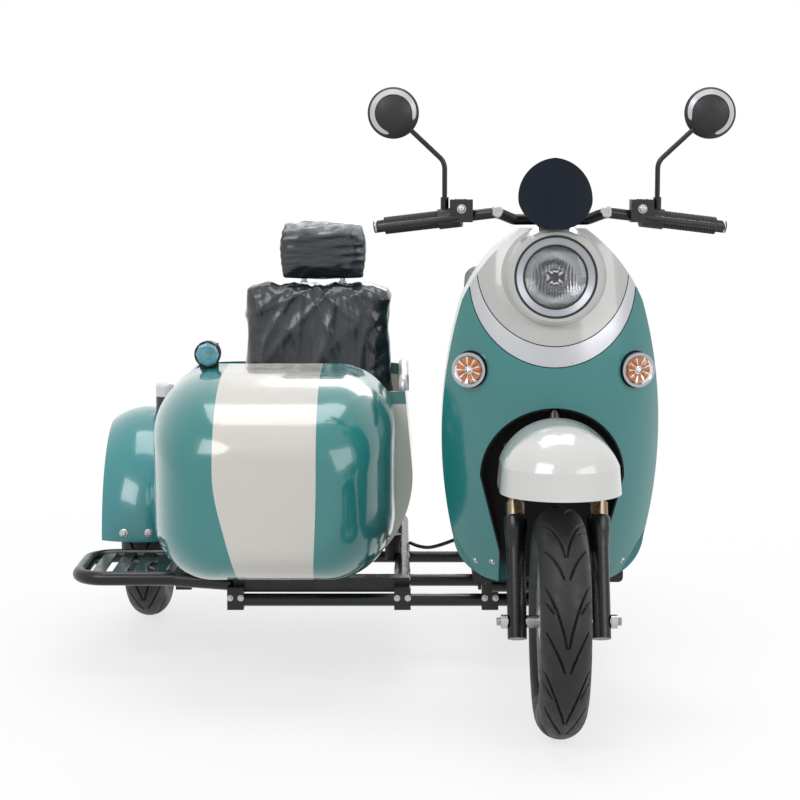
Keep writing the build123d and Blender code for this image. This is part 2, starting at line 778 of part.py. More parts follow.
# Mirrors: bent stems that stand on the switch pods, and round heads with domed backs
with BuildPart() as mirror_stems:
    for side in BOTH_SIDES:
        foot = bar_point(side, GRIP_L + CONTROL_GAP + MIRROR_FOOT_IN)
        sleeve_top = (foot[0], foot[1], foot[2] + SWITCH_R + SLEEVE_H)
        rod((foot[0], foot[1], foot[2] + BAR_R + MIRROR_STEM_R), sleeve_top, SLEEVE_R)
        elbow = (foot[0], foot[1], foot[2] + STEM_ELBOW_H)
        stem_in = MIRROR_R * STEM_SHARE
        head = (side * (MIRROR_X - stem_in), MIRROR_Y, MIRROR_Z - stem_in)
        tube((sleeve_top, elbow, head), MIRROR_STEM_R, STEM_BEND)
    add(controls.part, mode=Mode.SUBTRACT)
keep(mirror_stems, "mirror_stems")

with BuildPart() as mirrors:
    for side in BOTH_SIDES:
        mirror_spot = spot(side * MIRROR_X, MIRROR_Y, MIRROR_Z)
        with BuildSketch(Plane(origin=mirror_spot, x_dir=(1, 0, 0), z_dir=(0, 0, 1))) as dome:
            with BuildLine():
                dome_mid = (MIRROR_R * DOME_MID_OUT, -MIRROR_DOME * DOME_MID_DEEP)
                ThreePointArc((0, -MIRROR_DOME), dome_mid, (MIRROR_R, 0))
                Polyline((MIRROR_R, 0), (MIRROR_R, MIRROR_RIM), (0, MIRROR_RIM), (0, -MIRROR_DOME))
            make_face()
        revolve(dome.sketch, axis=Axis(mirror_spot, (0, 1, 0)))
    add(mirror_stems.part, mode=Mode.SUBTRACT)
keep(mirrors, "mirrors")


# Scooter frame: head tube, a spine down to the floor, two floor rails, two rails under the saddle
# and the bolt that carries the side stand
with BuildPart() as scooter_frame:
    head_low = (0, steer_y(HEAD_TUBE_LOW_Z), HEAD_TUBE_LOW_Z)
    head_high = (0, steer_y(HEAD_TUBE_HIGH_Z), HEAD_TUBE_HIGH_Z)
    rod(head_low, head_high, HEAD_TUBE_R)
    tube(SPINE_PATH, SPINE_R, SPINE_BEND)
    for side in BOTH_SIDES:
        rod((side * RAIL_X, RAIL_FRONT_Y, RAIL_Z), (side * RAIL_X, RAIL_BACK_Y, RAIL_Z), RAIL_R)
        rail_foot = (side * SEAT_RAIL_X, SEAT_RAIL_FRONT_Y, RAIL_Z)
        rail_elbow = (side * SEAT_RAIL_X, SEAT_RAIL_FRONT_Y, SEAT_RAIL_Z)
        rail_end = (side * SEAT_RAIL_X, SEAT_RAIL_BACK_Y, SEAT_RAIL_Z)
        tube((rail_foot, rail_elbow, rail_end), SEAT_RAIL_R, SEAT_RAIL_BEND)
    for cross_y in (RAIL_FRONT_Y, SEAT_RAIL_FRONT_Y):
        rod((-RAIL_X, cross_y, RAIL_Z), (RAIL_X, cross_y, RAIL_Z), RAIL_R)
    stand_in = STAND_X - STAND_EYE_T / 2 - RUN_GAP
    stand_out = STAND_X + STAND_EYE_T / 2 + RUN_GAP
    across(RAIL_X, STAND_X + STAND_EYE_T, STAND_Y, STAND_Z, STAND_PIN_R)
    across(RAIL_X, stand_in, STAND_Y, STAND_Z, STAND_EYE_R - STAND_LIP)
    across(stand_out, STAND_X + STAND_EYE_T, STAND_Y, STAND_Z, STAND_EYE_R - STAND_LIP)
    rod((0, steer_y(YOKE_Z), YOKE_Z), (0, steer_y(STEM_TOP_Z), STEM_TOP_Z), STEM_R + RUN_GAP, Mode.SUBTRACT)
keep(scooter_frame, "scooter_frame")


def pod_prism(inset):
    """Add the pod's outline, seen from the front, as a deep prism."""
    with BuildSketch(front_plane(POD_BACK_HIGH_Y + POD_SPARE)) as outline:
        with BuildLine():
            Line((0, POD_OUTLINE[0][1]), POD_OUTLINE[0])
            for first in range(0, len(POD_OUTLINE) - 1, 2):
                ThreePointArc(*POD_OUTLINE[first:first + 3])
            Line(POD_OUTLINE[-1], (0, POD_OUTLINE[-1][1]))
            mirror(about=Plane.YZ)
        make_face()
        if inset:
            offset(amount=-inset)
    extrude(outline.sketch, amount=POD_BACK_HIGH_Y - POD_NOSE_Y + 2 * POD_SPARE)


def pod_back_plane(behind):
    """The raked plane at the pod's back, or a distance behind it."""
    rise = POD_OUTLINE[-1][1] - POD_OUTLINE[0][1]
    lean = POD_BACK_HIGH_Y - POD_BACK_LOW_Y
    low = Plane(origin=spot(0, POD_BACK_LOW_Y, POD_OUTLINE[0][1]), x_dir=(1, 0, 0), z_dir=(0, -rise, lean))
    return low.offset(-behind)


def pod_form(inset):
    """Add the pod's form: the outline on a front that is round in plan and bowed from top to foot."""
    pod_prism(inset)
    lift = radians(POD_SWEEP / 2)
    axis_place = spot(0, POD_NOSE_Y + POD_SIDE_R, POD_MID_Z)
    with BuildSketch(Plane(origin=axis_place, x_dir=(1, 0, 0), z_dir=(0, -sin(lift), -cos(lift)))) as plan:
        with Locations((0, POD_SIDE_R - POD_PLAN_R)):
            Circle(POD_PLAN_R - inset)
    revolve(plan.sketch, axis=Axis(axis_place, (1, 0, 0)), revolution_arc=POD_SWEEP, mode=Mode.INTERSECT)
    split(bisect_by=pod_back_plane(0), keep=Keep.TOP)


def disc_prism(radius, z, mode):
    """Add or keep a round prism along the vehicle, as deep as the pod."""
    with BuildSketch(front_plane(POD_BACK_HIGH_Y + POD_SPARE)) as disc:
        with Locations((0, z)):
            Circle(radius)
    extrude(disc.sketch, amount=POD_BACK_HIGH_Y - POD_NOSE_Y + 2 * POD_SPARE, mode=mode)


def arch_prism(inset, back_y, mode):
    """Add or cut the wheel arch, open below, from a place along the vehicle forwards."""
    half = ARCH_R - inset
    foot = ARCH_FOOT_HALF - inset
    with BuildSketch(front_plane(back_y)) as arch:
        with BuildLine():
            ThreePointArc((-half, ARCH_Z), (0, ARCH_Z + half), (half, ARCH_Z))
            Polyline(
                (half, ARCH_Z), (foot, ARCH_FOOT_Z), (foot, 0),
                (-foot, 0), (-foot, ARCH_FOOT_Z), (-half, ARCH_Z),
            )
        make_face()
    extrude(arch.sketch, amount=back_y - POD_NOSE_Y + POD_SPARE, mode=mode)


# The pod's skin, from which the shield, the band and the cowl are parted
with BuildPart() as pod_room:
    pod_form(POD_WALL)
with BuildPart() as pod_solid:
    pod_form(0)
with BuildPart() as pod_skin:
    add(pod_solid.part)
    add(pod_room.part, mode=Mode.SUBTRACT)
    split(bisect_by=steer_plane(POD_TOP_Z), keep=Keep.BOTTOM)

with BuildPart() as leg_shield:
    add(pod_skin.part)
    disc_prism(BAND_R, BAND_Z, Mode.SUBTRACT)
    arch_prism(0, POD_BACK_HIGH_Y, Mode.SUBTRACT)
    add(scooter_frame.part, mode=Mode.SUBTRACT)
keep(leg_shield, "leg_shield")

with BuildPart() as silver_band:
    add(pod_skin.part)
    disc_prism(BAND_R, BAND_Z, Mode.INTERSECT)
    disc_prism(COWL_R, COWL_Z, Mode.SUBTRACT)
keep(silver_band, "silver_band")

# Arch liner: a tunnel behind the arch with a back wall
with BuildPart() as arch_liner:
    arch_prism(0, LINER_BACK_Y, Mode.ADD)
    arch_prism(LINER_WALL, LINER_BACK_Y - LINER_WALL, Mode.SUBTRACT)
    add(pod_solid.part, mode=Mode.INTERSECT)
    rod((0, steer_y(YOKE_Z), YOKE_Z), (0, steer_y(STEM_TOP_Z), STEM_TOP_Z), STEM_R + STEM_ROOM, Mode.SUBTRACT)
    add(scooter_frame.part, mode=Mode.SUBTRACT)
keep(arch_liner, "arch_liner")

# Knee panel: the pod's back wall
with BuildPart() as knee_panel:
    pod_prism(0)
    split(bisect_by=pod_back_plane(0), keep=Keep.BOTTOM)
    split(bisect_by=pod_back_plane(KNEE_T), keep=Keep.TOP)
    split(bisect_by=steer_plane(POD_TOP_Z), keep=Keep.BOTTOM)
    add(scooter_frame.part, mode=Mode.SUBTRACT)
keep(knee_panel, "knee_panel")


def lamp_plane():
    """The plane through the headlamp's axis: outwards from it, and backwards along it."""
    tilt = radians(LAMP_TILT)
    return Plane(origin=spot(0, LAMP_Y, LAMP_Z), x_dir=(1, 0, 0), z_dir=(0, sin(tilt), cos(tilt)))


def lamp_turn(points):
    """Turn a closed outline of (radius, depth) points about the headlamp's axis."""
    tilt = radians(LAMP_TILT)
    with BuildSketch(lamp_plane()) as section:
        with BuildLine():
            Polyline(*points, close=True)
        make_face()
    revolve(section.sketch, axis=Axis(spot(0, LAMP_Y, LAMP_Z), (0, cos(tilt), -sin(tilt))))


# Head cowl with a flared collar round the headlamp
with BuildPart() as collar_core:
    bore_r = LAMP_R - COLLAR_T
    lamp_turn(((0, BEZEL_T), (bore_r, BEZEL_T), (bore_r, COLLAR_DEEP), (0, COLLAR_DEEP)))
with BuildPart() as head_cowl:
    lamp_turn(((0, BEZEL_T), (LAMP_R, BEZEL_T), (LAMP_R + COLLAR_FLARE, COLLAR_DEEP), (0, COLLAR_DEEP)))
    add(pod_solid.part, mode=Mode.SUBTRACT)
    add(pod_skin.part)
    disc_prism(COWL_R, COWL_Z, Mode.INTERSECT)
    add(collar_core.part, mode=Mode.SUBTRACT)
keep(head_cowl, "head_cowl")

# Headlamp: a bright bezel, a dark ring, a reflector bowl and a domed lens
with BuildPart() as headlamp_bezel:
    lamp_turn((
        (BEZEL_IN_R, 0), (LAMP_R - BEZEL_LIP, 0), (LAMP_R, BEZEL_LIP),
        (LAMP_R, BEZEL_T), (BEZEL_IN_R, BEZEL_T),
    ))
keep(headlamp_bezel, "headlamp_bezel")

with BuildPart() as headlamp_ring:
    lamp_turn(((LENS_R, RING_IN), (BEZEL_IN_R, 0), (BEZEL_IN_R, BEZEL_T), (LENS_R, BEZEL_T)))
keep(headlamp_ring, "headlamp_ring")

with BuildPart() as headlamp_reflector:
    lamp_turn((
        (BULB_R, BOWL_DEEP), (LENS_R, BEZEL_T), (BEZEL_IN_R, BEZEL_T), (BEZEL_IN_R, BEZEL_T + BOWL_T),
        (LENS_R, BEZEL_T + BOWL_T), (BULB_R, BOWL_DEEP + BOWL_T), (0, BOWL_DEEP + BOWL_T),
        (0, BULB_TIP), (BULB_R, BULB_TIP),
    ))
keep(headlamp_reflector, "headlamp_reflector")

with BuildPart() as headlamp_lens:
    tilt = radians(LAMP_TILT)
    with BuildSketch(lamp_plane()) as lens_section:
        with BuildLine():
            ThreePointArc((0, 0), (LENS_R / 2, RING_IN / 4), (LENS_R, RING_IN))
            Polyline((LENS_R, RING_IN), (LENS_R, RING_IN + LENS_T), (0, RING_IN + LENS_T), (0, 0))
        make_face()
    revolve(lens_section.sketch, axis=Axis(spot(0, LAMP_Y, LAMP_Z), (0, cos(tilt), -sin(tilt))))
keep(headlamp_lens, "headlamp_lens")


def signal_plane(side, ahead):
    """A plane square to a turn signal's axis, a distance ahead of its seat on the shield."""
    turn = radians(SIGNAL_TURN)
    facing = Vector(side * sin(turn), -cos(turn), 0)
    place = Vector(*spot(side * SIGNAL_X, SIGNAL_Y, SIGNAL_Z)) + facing * ahead
    return Plane(origin=place, x_dir=(cos(turn), side * sin(turn), 0), z_dir=facing)


# Front turn signals: bezels seated on the shield, and domed lenses
with BuildPart() as signal_bezels:
    for side in BOTH_SIDES:
        with BuildSketch(signal_plane(side, 0)) as ring:
            Circle(SIGNAL_R)
        extrude(ring.sketch, amount=-SIGNAL_DEEP)
    add(pod_solid.part, mode=Mode.SUBTRACT)
    for side in BOTH_SIDES:
        with BuildSketch(signal_plane(side, 0)) as ring:
            Circle(SIGNAL_LENS_R)
        extrude(ring.sketch, amount=-SIGNAL_DISH, mode=Mode.SUBTRACT)
keep(signal_bezels, "signal_bezels")

with BuildPart() as signal_lenses:
    for side in BOTH_SIDES:
        with BuildSketch(signal_plane(side, -SIGNAL_DISH)) as lens:
            Circle(SIGNAL_LENS_R)
        extrude(lens.sketch, amount=SIGNAL_DISH + SIGNAL_DOME)
    lens_fronts = [face for face in signal_lenses.faces().filter_by(GeomType.PLANE) if face.normal_at().Y < 0]
    for face in lens_fronts:
        fillet(face.edges(), SIGNAL_DOME)
keep(signal_lenses, "signal_lenses")

# Windscreen: an egg-shaped curved sheet that leans back ahead of the instrument
with BuildPart() as windscreen:
    lean = radians(SCREEN_LEAN)
    sheet_plane = Plane(
        origin=spot(0, SCREEN_Y, SCREEN_LOW_Z), x_dir=(1, 0, 0), z_dir=(0, sin(lean), cos(lean))
    )
    with BuildSketch(sheet_plane):
        with Locations((0, SCREEN_PLAN_R)):
            Circle(SCREEN_PLAN_R)
            Circle(SCREEN_PLAN_R - SCREEN_T, mode=Mode.SUBTRACT)
    extrude(amount=2 * SCREEN_H, both=True)
    with BuildSketch(front_plane(SCREEN_Y + SCREEN_PLAN_R)):
        with BuildLine():
            wide = (SCREEN_HALF, SCREEN_WIDE_Z)
            crest = (SCREEN_CREST, SCREEN_LOW_Z + SCREEN_H * CREST_SHARE)
            ThreePointArc((0, SCREEN_LOW_Z), (SCREEN_FOOT, SCREEN_LOW_Z + SCREEN_RISE), wide)
            ThreePointArc(wide, crest, (0, SCREEN_LOW_Z + SCREEN_H))
            mirror(about=Plane.YZ)
        make_face()
    extrude(amount=2 * SCREEN_PLAN_R, mode=Mode.INTERSECT)
    block((-BAR_END_X, SCREEN_Y + SCREEN_DEEP, 0), (BAR_END_X, TAIL_Y, MIRROR_Z), Mode.SUBTRACT)
keep(windscreen, "windscreen")

# Instrument: a round case on a foot that stands on the cowl
with BuildPart() as instrument:
    lean = radians(INSTRUMENT_LEAN)
    case_plane = Plane(
        origin=spot(0, INSTRUMENT_Y, INSTRUMENT_Z), x_dir=(1, 0, 0), z_dir=(0, cos(lean), sin(lean))
    )
    with BuildSketch(case_plane):
        Circle(INSTRUMENT_R)
    extrude(amount=INSTRUMENT_T / 2, both=True)
    block(
        (-INSTRUMENT_FOOT, INSTRUMENT_Y - INSTRUMENT_FOOT, LAMP_Z + LAMP_R),
        (INSTRUMENT_FOOT, INSTRUMENT_Y + INSTRUMENT_FOOT, INSTRUMENT_Z),
    )
    stay_rise = SCREEN_STAY_Z + SCREEN_STAY_T - SCREEN_LOW_Z
    stay_y = SCREEN_Y + SCREEN_T + stay_rise * tan(radians(SCREEN_LEAN))
    block(
        (-SCREEN_STAY_HALF, stay_y, SCREEN_STAY_Z),
        (SCREEN_STAY_HALF, INSTRUMENT_Y, SCREEN_STAY_Z + SCREEN_STAY_T),
    )
    add(windscreen.part, mode=Mode.SUBTRACT)
    add(pod_solid.part, mode=Mode.SUBTRACT)
    add(head_cowl.part, mode=Mode.SUBTRACT)
keep(instrument, "instrument")

# Floorboard with turned-up edges and grip ribs
with BuildPart() as floorboard:
    block((-FLOOR_HALF, FLOOR_FRONT_Y, FLOOR_Z), (FLOOR_HALF, FLOOR_BACK_Y, FLOOR_Z + FLOOR_T))
    fillet(floorboard.edges().filter_by(Axis.Y), FLOOR_EDGE_R)
    with BuildSketch(top_plane(FLOOR_Z + FLOOR_T)):
        with Locations((0, (FLOOR_FRONT_Y + BODY_FRONT_Y) / 2)):
            with GridLocations(2 * FLOOR_HALF / (FLOOR_RIBS + 1), 1, FLOOR_RIBS, 1):
                Rectangle(FLOOR_RIB_W, BODY_FRONT_Y - FLOOR_FRONT_Y - 4 * FLOOR_EDGE_R)
    extrude(amount=FLOOR_RIB_H)
    add(scooter_frame.part, mode=Mode.SUBTRACT)
keep(floorboard, "floorboard")


def body_form(inset):
    """Add the rear body's form: its side outline, narrowed in plan, less an inset."""
    arch_r = TYRE_R + BODY_ARCH_ROOM
    with BuildSketch(side_plane(-BODY_HALF)) as side_outline:
        with BuildLine():
            arch_foot = WHEELBASE - sqrt(arch_r ** 2 - (BODY_LOW_Z - TYRE_R) ** 2)
            arch_mid = (WHEELBASE - arch_r * sin(radians(45)), TYRE_R + arch_r * cos(radians(45)))
            Line((BODY_FRONT_Y, BODY_LOW_Z), (arch_foot, BODY_LOW_Z))
            ThreePointArc((arch_foot, BODY_LOW_Z), arch_mid, (WHEELBASE, TYRE_R + arch_r))
            Polyline(
                (WHEELBASE, TYRE_R + arch_r), (BODY_BACK_Y - BODY_TAIL_RUN, TYRE_R + arch_r + BODY_TAIL_KICK),
                (BODY_BACK_Y, BODY_TAIL_Z), (BODY_BACK_Y - BODY_TAIL_KICK, BODY_TOP_Z),
                (BODY_FRONT_Y + BODY_FRONT_LEAN, BODY_TOP_Z), (BODY_FRONT_Y, BODY_LOW_Z),
            )
        make_face()
        if inset:
            offset(amount=-inset, kind=Kind.INTERSECTION)
    extrude(side_outline.sketch, amount=2 * BODY_HALF)
    with BuildSketch(top_plane(0)) as plan:
        with BuildLine():
            Polyline(
                (0, BODY_FRONT_Y), (BODY_FRONT_HALF, BODY_FRONT_Y), (BODY_HALF, BODY_WIDE_Y),
                (BODY_HALF, WHEELBASE), (BODY_TAIL_HALF, BODY_BACK_Y), (0, BODY_BACK_Y),
            )
            mirror(about=Plane.YZ)
        make_face()
        fillet(plan.vertices(), BODY_CORNER_R)
        if inset:
            offset(amount=-inset)
    extrude(plan.sketch, amount=2 * BODY_TOP_Z, mode=Mode.INTERSECT)


# Rear body: a hollow shell with a hatch under the saddle and ears for the saddle's hinge pin
with BuildPart() as body_room:
    body_form(BODY_WALL)
with BuildPart() as rear_body:
    body_form(0)
    fillet(rear_body.faces().sort_by(Axis.Z)[-1].edges(), BODY_EDGE_R)
    add(body_room.part, mode=Mode.SUBTRACT)
    block(
        (-HATCH_HALF, HATCH_FRONT_Y, BODY_TOP_Z - 2 * BODY_WALL),
        (HATCH_HALF, HATCH_BACK_Y, BODY_TOP_Z + RUN_GAP), Mode.SUBTRACT,
    )
    for side in BOTH_SIDES:
        ear_in = side * EAR_X
        ear_out = side * (EAR_X + EAR_T)
        across(ear_in, ear_out, HINGE_Y, HINGE_Z, EAR_R)
        ear_low = (min(ear_in, ear_out), HINGE_Y, HINGE_Z - EAR_R)
        ear_high = (max(ear_in, ear_out), BODY_FRONT_Y + BODY_FRONT_LEAN + BODY_EDGE_R, HINGE_Z - EAR_SLOPE)
        block(ear_low, ear_high)
    across(-EAR_X - EAR_T, EAR_X + EAR_T, HINGE_Y, HINGE_Z, HINGE_PIN_R)
    add(scooter_frame.part, mode=Mode.SUBTRACT)
keep(rear_body, "rear_body")
body_solid = body_room.part + rear_body.part

# Battery: one plain block on the rear body's floor
with BuildPart() as battery:
    floor_z = BODY_LOW_Z + BODY_WALL
    block((-BATTERY_HALF, BATTERY_Y, floor_z), (BATTERY_HALF, BATTERY_Y + BATTERY_L, floor_z + BATTERY_H))
keep(battery, "battery")

# Saddle: a pan with a hinge knuckle, and the pad on it
with BuildPart() as saddle_pan:
    pan_z = BODY_TOP_Z + SADDLE_GAP
    block((-PAN_HALF, PAN_FRONT_Y, pan_z), (PAN_HALF, SADDLE_BACK_Y - PAN_IN, pan_z + PAN_T))
    fillet(saddle_pan.edges().filter_by(Axis.Z), PAN_CORNER_R)
    knuckle_half = EAR_X - HINGE_SIDE_GAP
    block((-knuckle_half, HINGE_Y, pan_z), (knuckle_half, PAN_FRONT_Y + PAN_IN, pan_z + PAN_T))
    across(-knuckle_half, knuckle_half, HINGE_Y, HINGE_Z, KNUCKLE_R)
    across(-knuckle_half, knuckle_half, HINGE_Y, HINGE_Z, HINGE_PIN_R + HINGE_GAP, Mode.SUBTRACT)
keep(saddle_pan, "saddle_pan")

with BuildPart() as saddle_pad:
    pad_z = BODY_TOP_Z + SADDLE_GAP + PAN_T
    with BuildSketch(side_plane(-SADDLE_HALF)):
        with BuildLine():
            Polyline(
                (SADDLE_BACK_Y, pad_z), (SADDLE_FRONT_Y, pad_z), (SADDLE_FRONT_Y, pad_z + SADDLE_FRONT_T),
                (SADDLE_DIP_Y, pad_z + SADDLE_DIP_T), (SADDLE_STEP_Y, pad_z + SADDLE_DIP_T),
                (SADDLE_STEP_Y + SADDLE_STEP_RUN, pad_z + SADDLE_T), (SADDLE_BACK_Y, pad_z + SADDLE_T),
                (SADDLE_BACK_Y, pad_z),
            )
        make_face()
    extrude(amount=2 * SADDLE_HALF)
    fillet(saddle_pad.edges().filter_by(Axis.Z), SADDLE_CORNER_R)
    fillet(saddle_pad.edges().group_by(Axis.Z)[-1], SADDLE_EDGE_R)
keep(saddle_pad, "saddle_pad")

# Tail lamp and rear signals on the rear body's tail
with BuildPart() as tail_lamp:
    with BuildSketch(front_plane(BODY_BACK_Y + TAIL_LAMP_T)):
        with Locations((0, TAIL_LAMP_Z)):
            SlotOverall(TAIL_LAMP_W, TAIL_LAMP_H)
    extrude(amount=4 * TAIL_LAMP_T)
    add(body_solid, mode=Mode.SUBTRACT)
keep(tail_lamp, "tail_lamp")

with BuildPart() as rear_signals:
    for side in BOTH_SIDES:
        root = (side * REAR_SIGNAL_ROOT, REAR_SIGNAL_Y, REAR_SIGNAL_Z)
        tip = (side * REAR_SIGNAL_TIP, REAR_SIGNAL_Y, REAR_SIGNAL_Z)
        rod(root, tip, REAR_STALK_R)
        with BuildSketch(front_plane(REAR_SIGNAL_Y + REAR_SIGNAL_T / 2)) as lamp:
            with Locations((tip[0], tip[2])):
                Circle(REAR_SIGNAL_R)
        extrude(lamp.sketch, amount=REAR_SIGNAL_T)
    add(body_solid, mode=Mode.SUBTRACT)
keep(rear_signals, "rear_signals")

# Carrier behind the saddle: a loop on two posts round a drilled plate
with BuildPart() as carrier:
    loop_y = TAIL_Y - CARRIER_TUBE_R
    loop_x = CARRIER_HALF + CARRIER_TUBE_R
    block((-CARRIER_HALF, CARRIER_Y, CARRIER_Z), (CARRIER_HALF, loop_y, CARRIER_Z + CARRIER_T))
    with BuildSketch(top_plane(CARRIER_Z)):
        with Locations((0, (CARRIER_Y + loop_y) / 2)):
            with GridLocations(CARRIER_HOLE_X, CARRIER_HOLE_Y, 2, 2):
                Circle(CARRIER_HOLE_R)
    extrude(amount=CARRIER_T, mode=Mode.SUBTRACT)
    for side in BOTH_SIDES:
        rail_x = side * (CARRIER_HALF + CARRIER_TUBE_R / 2)
        rod((rail_x, CARRIER_Y, CARRIER_Z), (rail_x, loop_y, CARRIER_Z), CARRIER_TUBE_R)
        post_x = side * CARRIER_POST_X
        rod((post_x, CARRIER_POST_Y, BODY_TOP_Z), (post_x, CARRIER_POST_Y, CARRIER_Z), CARRIER_POST_R)
    rod((-loop_x, loop_y, CARRIER_Z), (loop_x, loop_y, CARRIER_Z), CARRIER_TUBE_R)
keep(carrier, "carrier")

# Rear fender: a bent flap from the rear body's tail down behind the wheel
with BuildPart() as rear_fender:
    flap_top = (BODY_BACK_Y - BODY_TAIL_RUN, TYRE_R + TYRE_R + BODY_ARCH_ROOM + BODY_TAIL_KICK)
    with BuildSketch(side_plane(-FLAP_HALF)):
        with BuildLine() as flap_line:
            ThreePointArc(flap_top, (FLAP_MID_Y, FLAP_MID_Z), (FLAP_END_Y, FLAP_END_Z))
            offset(amount=FLAP_T, side=Side.LEFT)
        make_face()
    extrude(amount=2 * FLAP_HALF)
    add(body_solid, mode=Mode.SUBTRACT)
keep(rear_fender, "rear_fender")

# Swingarm with its pivot tube and the rear axle
with BuildPart() as swingarm:
    pivot_z = RAIL_Z + RAIL_R + PIVOT_R + RUN_GAP
    across(-RAIL_X, RAIL_X, PIVOT_Y, pivot_z, PIVOT_R)
    for side in BOTH_SIDES:
        rod((side * ARM_X, PIVOT_Y, pivot_z), (side * ARM_X, WHEELBASE, TYRE_R), ARM_R)
        eye_in = side * (ARM_X - ARM_EYE_T / 2)
        eye_out = side * (ARM_X + ARM_EYE_T / 2)
        across(eye_in, eye_out, WHEELBASE, TYRE_R, ARM_R + AXLE_R)
        across(side * (MOTOR_W / 2 + RUN_GAP), side * ARM_X, WHEELBASE, TYRE_R, SPACER_R)
    axle_half = ARM_X + ARM_EYE_T / 2 + NUT_T
    across(-axle_half, axle_half, WHEELBASE, TYRE_R, AXLE_R)
keep(swingarm, "swingarm")

# Shock absorbers from the arms up to the rear body
with BuildPart() as shocks:
    for side in BOTH_SIDES:
        foot = (side * ARM_X, WHEELBASE - SHOCK_FOOT_IN, TYRE_R)
        arch_z = TYRE_R + sqrt((TYRE_R + BODY_ARCH_ROOM) ** 2 - SHOCK_TOP_IN ** 2)
        top = (side * ARM_X, WHEELBASE - SHOCK_TOP_IN, arch_z + SHOCK_SINK)
        rod(foot, top, SHOCK_ROD_R)
        lower = tuple(foot[axis] + (top[axis] - foot[axis]) * SPRING_FROM for axis in range(3))
        upper = tuple(foot[axis] + (top[axis] - foot[axis]) * SPRING_TO for axis in range(3))
        rod(lower, upper, SPRING_R)
    add(swingarm.part, mode=Mode.SUBTRACT)
    add(body_solid, mode=Mode.SUBTRACT)
keep(shocks, "shocks")

# Side stand, folded back along the left floor rail
with BuildPart() as side_stand:
    across(STAND_X - STAND_EYE_T / 2, STAND_X + STAND_EYE_T / 2, STAND_Y, STAND_Z, STAND_EYE_R)
    bore_r = STAND_PIN_R + HINGE_GAP
    across(STAND_X - STAND_EYE_T, STAND_X + STAND_EYE_T, STAND_Y, STAND_Z, bore_r, Mode.SUBTRACT)
    leg_start = (STAND_X, STAND_Y + STAND_EYE_R - STAND_LIP / 2, STAND_Z)
    leg_end = (STAND_X + STAND_OUT, STAND_Y + STAND_L, STAND_Z)
    rod(leg_start, leg_end, STAND_R)
    block(
        (leg_end[0] - STAND_FOOT, leg_end[1] - STAND_FOOT, STAND_Z - STAND_R),
        (leg_end[0] + STAND_FOOT, leg_end[1], STAND_Z + STAND_R),
    )
keep(side_stand, "side_stand")

def nose_form(inset, back_y):
    """Loft the nose from rounded sections, less an inset, up to a place along the vehicle."""
    sections = []
    for y, half, low_z, high_z, corner_r in NOSE_SECTIONS:
        with BuildSketch(front_plane(min(y + inset, back_y))) as section:
            with Locations((SIDECAR_X, (low_z + high_z) / 2)):
                RectangleRounded(2 * (half - inset), high_z - low_z - 2 * inset, corner_r - inset)
        sections.append(section.sketch)
    loft(sections)


def leg_opening(y, deep):
    """Cut the opening for the rider's legs through the walls between nose and tub."""
    with BuildSketch(front_plane(y)) as opening:
        with Locations((TUB_X, LEG_OPENING_Z)):
            RectangleRounded(LEG_OPENING_W, LEG_OPENING_H, LEG_OPENING_R)
    extrude(opening.sketch, amount=deep, both=True, mode=Mode.SUBTRACT)


# Nose: a hollow rounded barrel with a wall at its back
with BuildPart() as nose_room:
    nose_form(SHELL_WALL, NOSE_BACK_Y - SHELL_WALL)
with BuildPart() as nose:
    nose_form(0, NOSE_BACK_Y)
    fillet(nose.faces().sort_by(Axis.Y)[0].edges(), NOSE_TIP_R)
    add(nose_room.part, mode=Mode.SUBTRACT)
    leg_opening(NOSE_BACK_Y, 2 * SHELL_WALL)
keep(nose, "nose")
nose_solid = nose.part + nose_room.part


def tub_form(inset, top_z):
    """Add the tub's form: a rounded cross section, rounded at the back in plan, less an inset."""
    foot = TUB_FOOT_HALF - inset
    half = TUB_HALF - inset
    rim = TUB_RIM_HALF - inset
    low_z = TUB_LOW_Z + inset
    with BuildSketch(front_plane(TUB_BACK_Y, TUB_X)) as section:
        with BuildLine():
            Line((0, low_z), (foot, low_z))
            ThreePointArc((foot, low_z), (half - TUB_TURN_IN, low_z + TUB_TURN_UP), (half, TUB_WIDE_Z))
            Polyline((half, TUB_WIDE_Z), (rim, TUB_TOP_Z), (rim, top_z), (0, top_z))
            mirror(about=Plane.YZ)
        make_face()
    extrude(section.sketch, amount=TUB_BACK_Y - NOSE_BACK_Y)
    with BuildSketch(top_plane(0)) as plan:
        with Locations((TUB_X, (NOSE_BACK_Y + TUB_BACK_Y) / 2)):
            Rectangle(2 * half, TUB_BACK_Y - NOSE_BACK_Y - 2 * inset)
        fillet(plan.vertices().group_by(Axis.Y)[-1], TUB_BACK_R - inset)
    extrude(plan.sketch, amount=2 * TUB_TOP_Z, mode=Mode.INTERSECT)


# Tub: an open-topped shell behind the nose
with BuildPart() as tub_room:
    tub_form(SHELL_WALL, TUB_TOP_Z + SHELL_WALL)
with BuildPart() as tub:
    tub_form(0, TUB_TOP_Z + RUN_GAP)
    split(bisect_by=top_plane(TUB_TOP_Z), keep=Keep.BOTTOM)
    add(tub_room.part, mode=Mode.SUBTRACT)
    leg_opening(NOSE_BACK_Y, 2 * SHELL_WALL)
keep(tub, "tub")
tub_solid = tub.part + tub_room.part

